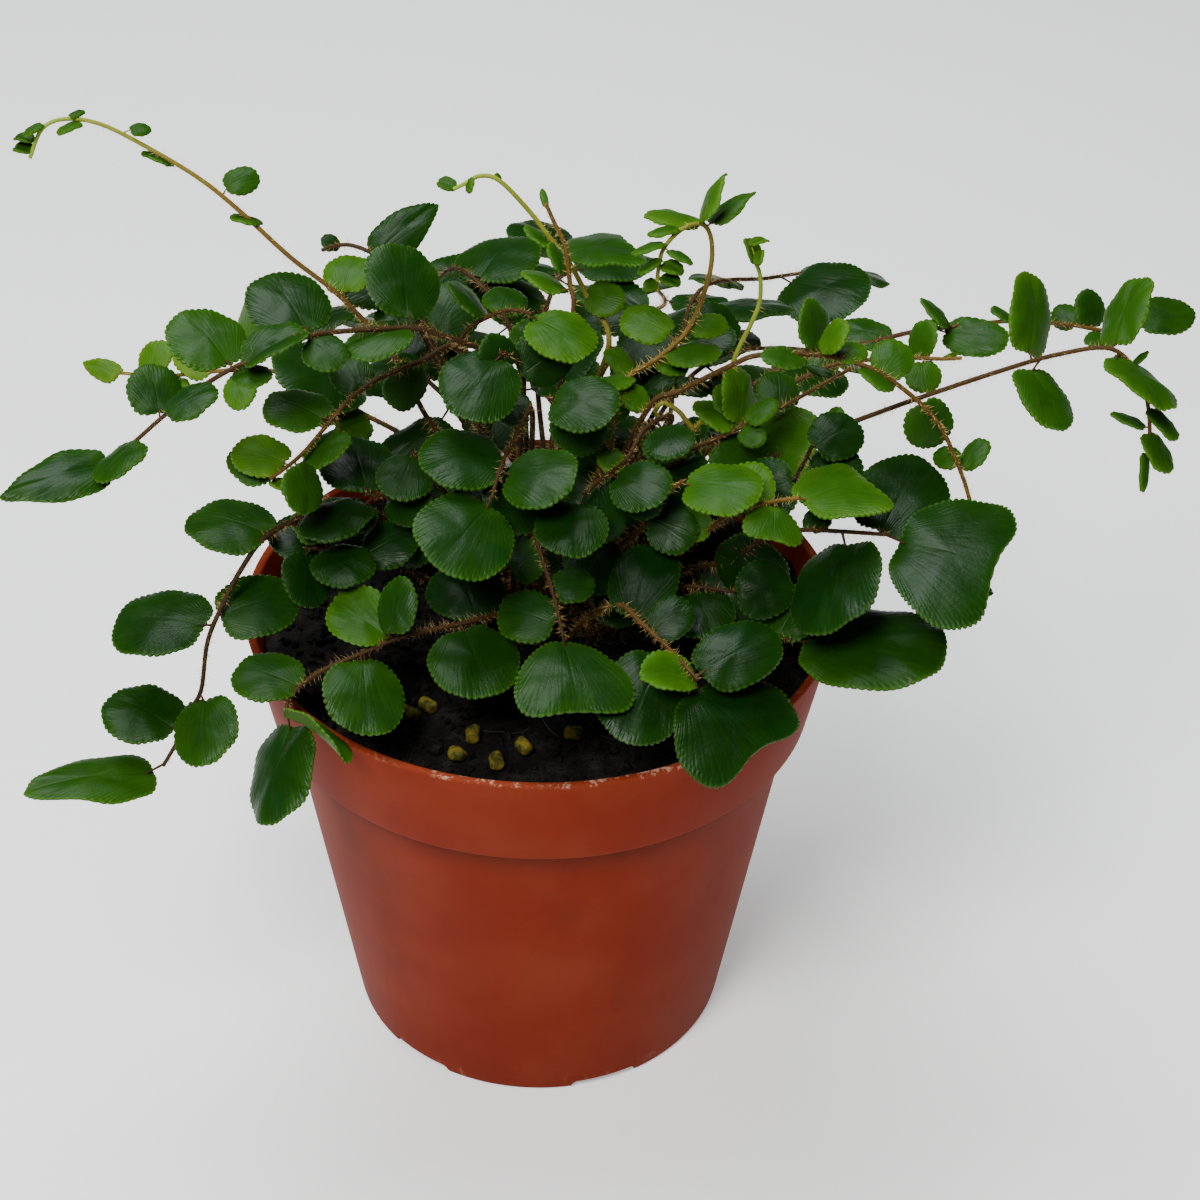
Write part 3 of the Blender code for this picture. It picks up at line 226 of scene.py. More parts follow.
def buildStudio():
    optics = bpy.data.cameras.new("camera")
    optics.sensor_width = studio["sensor"]
    optics.lens = studio["sensor"] * view["scale"] / (2 * view["middle"])
    optics.clip_start = studio["nearClip"]
    optics.clip_end = studio["farClip"]
    camera = linked("camera", optics)
    turn = Matrix((pictureRight, pictureUp, -ahead)).transposed().to_4x4()
    camera.matrix_world = Matrix.Translation(eye) @ turn
    bpy.context.scene.camera = camera

    bm = bmesh.new()
    bmesh.ops.create_grid(bm, x_segments=2, y_segments=2, size=studio["floorReach"])
    graph = Graph("paleFloor")
    tone = studio["floorColour"]
    colour = graph.mix(graph.cloud(3, 2), tone, tuple(part * studio["floorGrain"] for part in tone))
    look = graph.finish(colour=colour, roughness=0.7, gloss=0.2, glow=tone, glowStrength=studio["floorGlow"])
    floor = newPiece("floor", bm, [look])

    world = bpy.data.worlds.new("softRoom")
    bpy.context.scene.world = world
    world.use_nodes = True
    sky = world.node_tree.nodes["Background"]
    sky.inputs["Color"].default_value = (*studio["skyColour"], 1)
    sky.inputs["Strength"].default_value = studio["skyStrength"]
    for name, spot, size, watts, colour in studio["lamps"]:
        light = bpy.data.lights.new(name, "AREA")
        light.shape = "DISK"
        light.size = size
        light.energy = watts
        light.color = colour
        lamp = linked(name, light)
        lamp.location = spot
        lamp.rotation_mode = "QUATERNION"
        lamp.rotation_quaternion = (studio["lampAim"] - Vector(spot)).to_track_quat("-Z", "Y")
    print("studio set")


# Making pieces
def linked(name, data):
    made = bpy.data.objects.new(name, data)
    bpy.context.scene.collection.objects.link(made)
    return made


def newPiece(name, bm, materials, sharpFrom=None):
    mesh = bpy.data.meshes.new(name)
    bm.to_mesh(mesh)
    bm.free()
    for material in materials:
        mesh.materials.append(material)
    if sharpFrom:
        smoothed(mesh, sharpFrom)
    return linked(name, mesh)


def smoothed(mesh, sharpFrom):
    mesh.shade_smooth()
    mesh.set_sharp_from_angle(angle=math.radians(sharpFrom))


def standFor(piece, node):
    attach(piece, "root")
    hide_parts(node)


def closed(bm, gap):
    # merge what lies within the gap and turn all faces outwards
    bmesh.ops.remove_doubles(bm, verts=bm.verts, dist=gap)
    bmesh.ops.recalc_face_normals(bm, faces=bm.faces)


def rounded(bm, geom, size, segments, affect="EDGES"):
    bmesh.ops.bevel(bm, geom=geom, offset=size, segments=segments, profile=0.5, affect=affect, material=-1)


def turned(outline, steps, rounding=None):
    # an outline of radius and height, rounded at its inner corners and turned about the upright axis
    bm = bmesh.new()
    corners = [bm.verts.new((radius, 0, height)) for radius, height in outline]
    for first, second in zip(corners, corners[1:]):
        bm.edges.new((first, second))
    if rounding:
        rounded(bm, corners[2:-2], rounding, 3, "VERTICES")
    bmesh.ops.spin(bm, geom=bm.verts[:] + bm.edges[:], cent=(0, 0, 0), axis=(0, 0, 1), angle=math.tau,
                   steps=steps, use_merge=True)
    closed(bm, 0.01 * mm)
    return bm


def addRods(bm, runs, thickness, roundness):
    # a capped rod along each run of places and radii
    curve = bpy.data.curves.new("rods", "CURVE")
    curve.dimensions = "3D"
    curve.bevel_depth = thickness
    curve.bevel_resolution = roundness
    curve.use_fill_caps = True
    for run in runs:
        spline = curve.splines.new("POLY")
        spline.points.add(len(run) - 1)
        for point, (place, radius) in zip(spline.points, run):
            point.co = (*place, 1)
            point.radius = radius
    rail = linked("rods", curve)
    depsgraph = bpy.context.evaluated_depsgraph_get()
    bm.from_mesh(rail.evaluated_get(depsgraph).to_mesh())
    bpy.data.objects.remove(rail)
    closed(bm, 0.001 * mm)


def addCone(bm, start, end, radii, segments, capped):
    # a cone or a tapered rod from one place to another
    run = end - start
    turn = run.normalized().to_track_quat("Z", "Y")
    place = Matrix.Translation((start + end) / 2) @ turn.to_matrix().to_4x4()
    return bmesh.ops.create_cone(bm, cap_ends=capped, segments=segments, radius1=radii[0], radius2=radii[1],
                                 depth=run.length, matrix=place)


# Pot
pot = {
    "height": 90 * mm, "lipRadius": 53.5 * mm, "lipWidth": 1.6 * mm, "bandDepth": 19.7 * mm,
    "bandFootRadius": 49.7 * mm, "shoulderDrop": 1.4 * mm, "bodyTopRadius": 46.6 * mm, "wall": 1.2 * mm,
    "baseRadius": 35.9 * mm, "baseRounding": 1.0 * mm, "floor": 3.8 * mm, "steps": 160, "rimRound": 0.55 * mm,
    "feet": 6, "firstNotch": math.radians(22), "notchSize": (13 * mm, 12 * mm, 3.6 * mm),
    "notchRound": 1.2 * mm, "drainRadius": 2.4 * mm, "drainRing": 31.5 * mm, "sharpFrom": 35,
    "plastic": (0.172, 0.0145, 0.002), "plasticDeep": (0.122, 0.009, 0.0012), "scuff": (0.47, 0.26, 0.17),
    # the darkest colour on the next line is the colour of real stains and also of the shade painted under the
    # band's foot
    "stainAndShade": (0.060, 0.0075, 0.002), "dust": (0.30, 0.085, 0.04),
}


def outerRadius(height):
    shoulder = pot["height"] - pot["bandDepth"] - pot["shoulderDrop"]
    share = (height - pot["baseRounding"]) / (shoulder - pot["baseRounding"])
    return pot["baseRadius"] + (pot["bodyTopRadius"] - pot["baseRadius"]) * share


def plasticLook():
    graph = Graph("terracottaPlastic")
    high = graph.height()
    broad = graph.cloud(22, 3)
    speck = graph.cloud(900, 2)
    stain = graph.cloud(55, 5, 0.6, (1, 1, 0.5))
    streak = graph.cloud(60, 5, 0.65, (1, 1, 0.12))
    scratch = graph.cloud(520, 6, 0.75, (1, 1, 0.5))
    worn = graph.cloud(45, 3)
    lip = high.step(pot["height"] - 0.75 * mm, pot["height"] - 0.2 * mm)
    foot = 1 - high.step(0.0, 6 * mm)
    shoulder = pot["height"] - pot["bandDepth"]
    # painted shade: darkest just under the band's foot and fading out 9 mm lower, standing in for the shade
    # that the band's overhang casts
    shaded = high.step(shoulder - 9 * mm, shoulder - 1 * mm) * (1 - high.step(shoulder - 1 * mm, shoulder))
    chipped = lip * scratch.step(0.53, 0.62) * worn.step(0.47, 0.6)
    scuffed = (chipped + foot * scratch.step(0.55, 0.7) * 0.4).clipped()
    colour = graph.mix((broad * 0.6 + streak * 0.55).clipped(), pot["plasticDeep"], pot["plastic"])
    colour = graph.mix(speck.step(0.35, 0.75) * 0.22, colour, pot["plasticDeep"])
    # one dark colour serves both the real stains and the painted shade under the band
    colour = graph.mix(stain.step(0.56, 0.72) * 0.3 + shaded * (0.25 + broad * 0.4), colour, pot["stainAndShade"])
    colour = graph.mix(worn.step(0.35, 0.75) * 0.12 + lip * 0.1, colour, pot["dust"])
    colour = graph.mix(scuffed * 0.8, colour, pot["scuff"])
    rough = 0.5 + broad * 0.12 + streak * 0.14 + scuffed * 0.2
    relief = graph.bump(speck * 0.3 + streak * 0.5 + scratch * 0.2, 0.16, 0.25 * mm)
    return graph.finish(colour=colour, roughness=rough, normal=relief, gloss=0.07)


def buildPot():
    high = pot["height"]
    bandFoot = high - pot["bandDepth"]
    shoulder = bandFoot - pot["shoulderDrop"]
    wall, lip, base, floor = pot["wall"], pot["lipRadius"], pot["baseRadius"], pot["floor"]
    band, body = pot["bandFootRadius"], pot["bodyTopRadius"]
    outline = (
        # the inside from the middle of the floor up, then the outside from the lip down
        (0, floor), (outerRadius(floor) - wall, floor), (body - wall, shoulder + 0.4 * mm),
        (band - wall, bandFoot + 0.9 * mm), (lip - pot["lipWidth"], high), (lip, high),
        (band + 0.05 * mm, bandFoot + 0.4 * mm), (band - 0.7 * mm, bandFoot),
        (body + 0.6 * mm, shoulder + 0.5 * mm), (body, shoulder - 0.6 * mm), (base, pot["baseRounding"]),
        (base - 0.3 * mm, 0.3 * mm), (base - pot["baseRounding"], 0), (0, 0),
    )
    piece = newPiece("pot_shell", turned(outline, pot["steps"], pot["rimRound"]), [])
    cutters = bpy.data.collections.new("cutters")
    bpy.context.scene.collection.children.link(cutters)
    for index in range(pot["feet"]):
        turn = pot["firstNotch"] + index * math.tau / pot["feet"]
        outward = Vector((math.sin(turn), -math.cos(turn), 0))
        bm = bmesh.new()
        bmesh.ops.create_cube(bm, size=1)
        bmesh.ops.scale(bm, vec=pot["notchSize"], verts=bm.verts)
        deep = [edge for edge in bm.edges if edge.verts[0].co.y != edge.verts[1].co.y]
        rounded(bm, deep, pot["notchRound"], 4)
        bmesh.ops.rotate(bm, matrix=Matrix.Rotation(turn, 3, "Z"), verts=bm.verts)
        bmesh.ops.translate(bm, vec=outward * (base + 0.2 * mm), verts=bm.verts)
        reach = Vector((0, 0, 2 * floor))
        drain = outward * pot["drainRing"]
        addCone(bm, drain - reach, drain + reach, (pot["drainRadius"], pot["drainRadius"]), 24, True)
        cutter = newPiece(f"notch_{index}", bm, [])
        bpy.context.scene.collection.objects.unlink(cutter)
        cutters.objects.link(cutter)
    carve = piece.modifiers.new("feet", "BOOLEAN")
    carve.operation = "DIFFERENCE"
    carve.operand_type = "COLLECTION"
    carve.collection = cutters
    carve.use_self = True
    depsgraph = bpy.context.evaluated_depsgraph_get()
    mesh = bpy.data.meshes.new_from_object(piece.evaluated_get(depsgraph), depsgraph=depsgraph)
    piece.modifiers.clear()
    piece.data = mesh
    for cutter in list(cutters.objects):
        bpy.data.objects.remove(cutter)
    bpy.data.collections.remove(cutters)
    mesh.materials.clear()
    mesh.materials.append(plasticLook())
    smoothed(mesh, pot["sharpFrom"])
    standFor(piece, "pot")
    print("pot made")


# Soil, its crumbs and fibres
soil = {
    "level": 85 * mm, "mound": 1.2 * mm, "bump": 0.55 * mm, "ease": 0.6 * mm, "steps": 120, "rings": 34,
    "grain": 0.55 * mm, "grainScale": 420, "grainDetail": (0.7, 2.0, 4), "edge": 1.5 * mm, "lift": 0.3 * mm,
    "seed": 11, "sharpFrom": 50,
    "crumbs": 2000, "crumbSize": (0.35 * mm, 1.25 * mm), "crumbMargin": 1.2 * mm, "crumbBias": 2.5,
    "crumbWidth": (0.7, 1.2), "crumbHeight": (0.5, 0.8), "crumbRise": 0.25, "crumbDent": 0.35,
    "crumbDentScale": 2500,
    "fibres": 45, "fibreLength": (3 * mm, 11 * mm), "fibreThickness": 0.09 * mm, "fibreTaper": (0.6, 1.3),
    "fibreMargin": 5 * mm, "fibreStray": 3 * mm, "fibreParts": 6, "fibreBend": 0.5,
    "fibreArch": (0.1 * mm, 0.9 * mm), "fibreClear": 0.15 * mm, "fibreSharpFrom": 60,
    "dark": (0.0025, 0.0022, 0.0022), "brown": (0.0155, 0.0125, 0.0108), "fibre": (0.04, 0.026, 0.014),
}
noise.seed_set(soil["seed"])  # or else Blender starts its noise from the clock


def soilHeight(x, y):
    # the level of the solid soil, with its mound and its waves
    wave = math.sin(x * 410 + 1.3) * math.sin(y * 370 + 0.4)
    wave += 0.6 * math.sin((x + y) * 660) * math.cos((x - y) * 520)
    share = min(1.0, math.hypot(x, y) / pot["bodyTopRadius"])
    return soil["level"] + soil["mound"] * (1 - share * share) + soil["bump"] * wave


def roughHeight(x, y):
    # the soil's level with its crumbly grain
    fine = noise.fractal(Vector((x, y, 0)) * soil["grainScale"], *soil["grainDetail"])
    return soilHeight(x, y) + soil["grain"] * fine


def peatLook():
    graph = Graph("peat")
    clump = graph.cloud(260, 6, 0.7)
    dust = graph.cells(1500)
    colour = graph.mix((clump.step(0.42, 0.72) * 0.8 + dust * 0.2).clipped(), soil["dark"], soil["brown"])
    relief = graph.bump(clump + dust * 0.5, 0.7, 0.6 * mm)
    return graph.finish(colour=colour, roughness=0.95 - clump * 0.1, normal=relief, gloss=0.08)


def fibreLook():
    graph = Graph("peatFibre")
    clump = graph.cloud(300, 3)
    colour = graph.mix(clump, soil["brown"], soil["fibre"])
    return graph.finish(colour=colour, roughness=0.85, normal=graph.bump(clump, 0.3, 0.1 * mm), gloss=0.2)


def buildSoil():
    rng = random.Random(soil["seed"])
    bandFoot = pot["height"] - pot["bandDepth"]
    slack = pot["wall"] + soil["ease"]
    widening = pot["lipRadius"] - pot["lipWidth"] - pot["bandFootRadius"] + pot["wall"]
    slope = widening / (pot["bandDepth"] - pot["shoulderDrop"])
    level, rings, foot = soil["level"], soil["rings"], pot["floor"] + soil["lift"]
    topRadius = pot["bandFootRadius"] - slack + slope * (level - soil["edge"] - bandFoot)
    outline = [((topRadius - 0.3 * mm) * ring / rings, level) for ring in range(rings + 1)]
    outline += [
        (topRadius, level - soil["edge"]), (pot["bandFootRadius"] - slack, bandFoot + 1.6 * mm),
        (pot["bodyTopRadius"] - slack, bandFoot - pot["shoulderDrop"]),
        (outerRadius(pot["floor"]) - slack, foot), (0, foot)]
    bm = turned(outline, soil["steps"])
    for vert in bm.verts:
        if vert.co.z > level - 0.1 * mm:
            vert.co.z = roughHeight(vert.co.x, vert.co.y)
    standFor(newPiece("soil_top", bm, [peatLook()], soil["sharpFrom"]), "soil")
    scatterCrumbs(rng, topRadius - soil["crumbMargin"])
    layFibres(rng, topRadius - soil["fibreMargin"])
    print("soil made")


def onSoil(rng, spread):
    # a random direction, and a random place within the spread
    reach = spread * math.sqrt(rng.random())
    turn = rng.uniform(0, math.tau)
    return turn, Vector((reach * math.cos(turn), reach * math.sin(turn), 0))


def scatterCrumbs(rng, spread):
    bm = bmesh.new()
    small, large = soil["crumbSize"]
    for _ in range(soil["crumbs"]):
        turn, spot = onSoil(rng, spread)
        size = small + (large - small) * rng.random() ** soil["crumbBias"]
        spot.z = roughHeight(spot.x, spot.y) + size * soil["crumbRise"]
        widths = rng.uniform(*soil["crumbWidth"]), rng.uniform(*soil["crumbWidth"])
        squash = Matrix.Diagonal((*widths, rng.uniform(*soil["crumbHeight"]), 1))
        spin = Matrix.Rotation(turn * 7, 4, Vector((rng.random(), rng.random(), 0.3)))
        place = Matrix.Translation(spot) @ spin @ squash
        crumb = bmesh.ops.create_icosphere(bm, subdivisions=1, radius=size, matrix=place)
        for vert in crumb["verts"]:
            vert.co += noise.noise_vector(vert.co * soil["crumbDentScale"]) * size * soil["crumbDent"]
    bmesh.ops.recalc_face_normals(bm, faces=bm.faces)
    crumbs = newPiece("soil_crumbs", bm, [peatLook()])
    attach(crumbs, "root")


def layFibres(rng, spread):
    # rootlets and bark threads, each a thin bent rod that lies on the crumbs
    runs = []
    limit = spread + soil["fibreStray"]
    for _ in range(soil["fibres"]):
        _, spot = onSoil(rng, spread)
        heading = rng.uniform(0, math.tau)
        step = rng.uniform(*soil["fibreLength"]) / soil["fibreParts"]
        lift = rng.uniform(*soil["fibreArch"])
        run = []
        for index in range(soil["fibreParts"] + 1):
            heading += rng.uniform(-soil["fibreBend"], soil["fibreBend"])
            spot = spot + Vector((math.cos(heading), math.sin(heading), 0)) * step
            if spot.length > limit:
                spot = spot.normalized() * limit
            arch = lift * math.sin(math.pi * index / soil["fibreParts"]) + soil["fibreClear"]
            place = (spot.x, spot.y, roughHeight(spot.x, spot.y) + arch)
            run.append((place, rng.uniform(*soil["fibreTaper"])))
        runs.append(run)
    bm = bmesh.new()
    addRods(bm, runs, soil["fibreThickness"], 0)
    fibres = newPiece("soil_fibres", bm, [fibreLook()], soil["fibreSharpFrom"])
    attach(fibres, "root")


# Feed pellets: how each one is turned, in degrees, and how far it has sunk into the peat
pellets = {
    "lie": ((47, 0.2), (47, 0.5), (0, 0.5), (35, 0.4), (60, 0.6), (10, 0.3), (80, 0.7), (15, 0.5),
            (100, 0.5)),
    "length": 3.1 * mm, "radius": 1.2 * mm, "rounding": 0.55 * mm, "cuts": 2,
    "dents": ((700, 0.28 * mm), (2400, 0.084 * mm)), "sharpFrom": 50,
    "coat": (0.155, 0.12, 0.012), "coatDeep": (0.032, 0.032, 0.006),
}


def pelletLook():
    graph = Graph("feedCoat")
    patch = graph.cloud(700, 4, 0.6)
    colour = graph.mix(patch.step(0.35, 0.65), pellets["coatDeep"], pellets["coat"])
    relief = graph.bump(patch, 0.25, 0.12 * mm)
    return graph.finish(colour=colour, roughness=0.72 + patch * 0.2, normal=relief, gloss=0.12)


def upright(bm):
    return [edge for edge in bm.edges if abs(edge.verts[0].co.z - edge.verts[1].co.z) > 1 * mm]


def buildPellets():
    coat = pelletLook()
    for index, (turn, sunk) in enumerate(pellets["lie"]):
        node = f"pellet_{index + 1}"
        low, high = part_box(node)
        bm = bmesh.new()
        bmesh.ops.create_cone(bm, cap_ends=True, segments=16, radius1=pellets["radius"],
                              radius2=pellets["radius"], depth=pellets["length"])
        sides = upright(bm)
        rounded(bm, [edge for edge in bm.edges if edge not in sides], pellets["rounding"], 3)
        bmesh.ops.subdivide_edges(bm, edges=upright(bm), cuts=pellets["cuts"], use_grid_fill=True)
        bmesh.ops.rotate(bm, matrix=Matrix.Rotation(math.pi / 2, 3, "X"), verts=bm.verts)
        bmesh.ops.rotate(bm, matrix=Matrix.Rotation(math.radians(turn), 3, "Z"), verts=bm.verts)
        middle = (low + high) / 2
        bmesh.ops.translate(bm, vec=middle - Vector((0, 0, sunk * mm)), verts=bm.verts)
        for vert in bm.verts:
            for scale, depth in pellets["dents"]:
                vert.co += noise.noise_vector(vert.co * scale) * depth
        standFor(newPiece(f"feed_{node}", bm, [coat], pellets["sharpFrom"]), node)
    print("pellets made")


# Fronds
Outline = namedtuple("Outline", "breadth fullness forward notch fold", defaults=(0, 0, 0))
outlines = {
    "round": Outline(0.94, 0.92),
    "oval": Outline(0.78, 0.92),
    "long": Outline(0.62, 0.88, -0.05, fold=0.10),
    "point": Outline(0.50, 1.15, -0.28, fold=0.12),
    "fold": Outline(0.80, 0.92, fold=0.45),
    "thin": Outline(0.30, 1.05, fold=0.10),
    "fan": Outline(1.12, 0.85, 0.22, 0.17),
    "lobed": Outline(1.35, 0.80, 0.18, 0.26),
}

# A leaflet as seen: where it leaves the stem, its tip, its seen breadth, its outline, whether its tip leans
# to the viewer (1), away (-1) or as it falls (0), and how young and bright it is, if it differs in its frond
Leaf = namedtuple("Leaf", "baseU baseV tipU tipV breadth form lean tone", defaults=("round", 0, None))

# A frond: its name, its root on the soil in millimetres, how young its leaflets, its stem's foot and its
# stem's tip are, its stem as (column, row, depth in millimetres) and its leaflets
Frond = namedtuple("Frond", "name root tones stem leaves")

# A leaflet as it stands: its place on the stem and its foot, three directions, its size, and the number of
# points on the rim of its solid
Pose = namedtuple("Pose", "joint base along across face length breadth outline points")

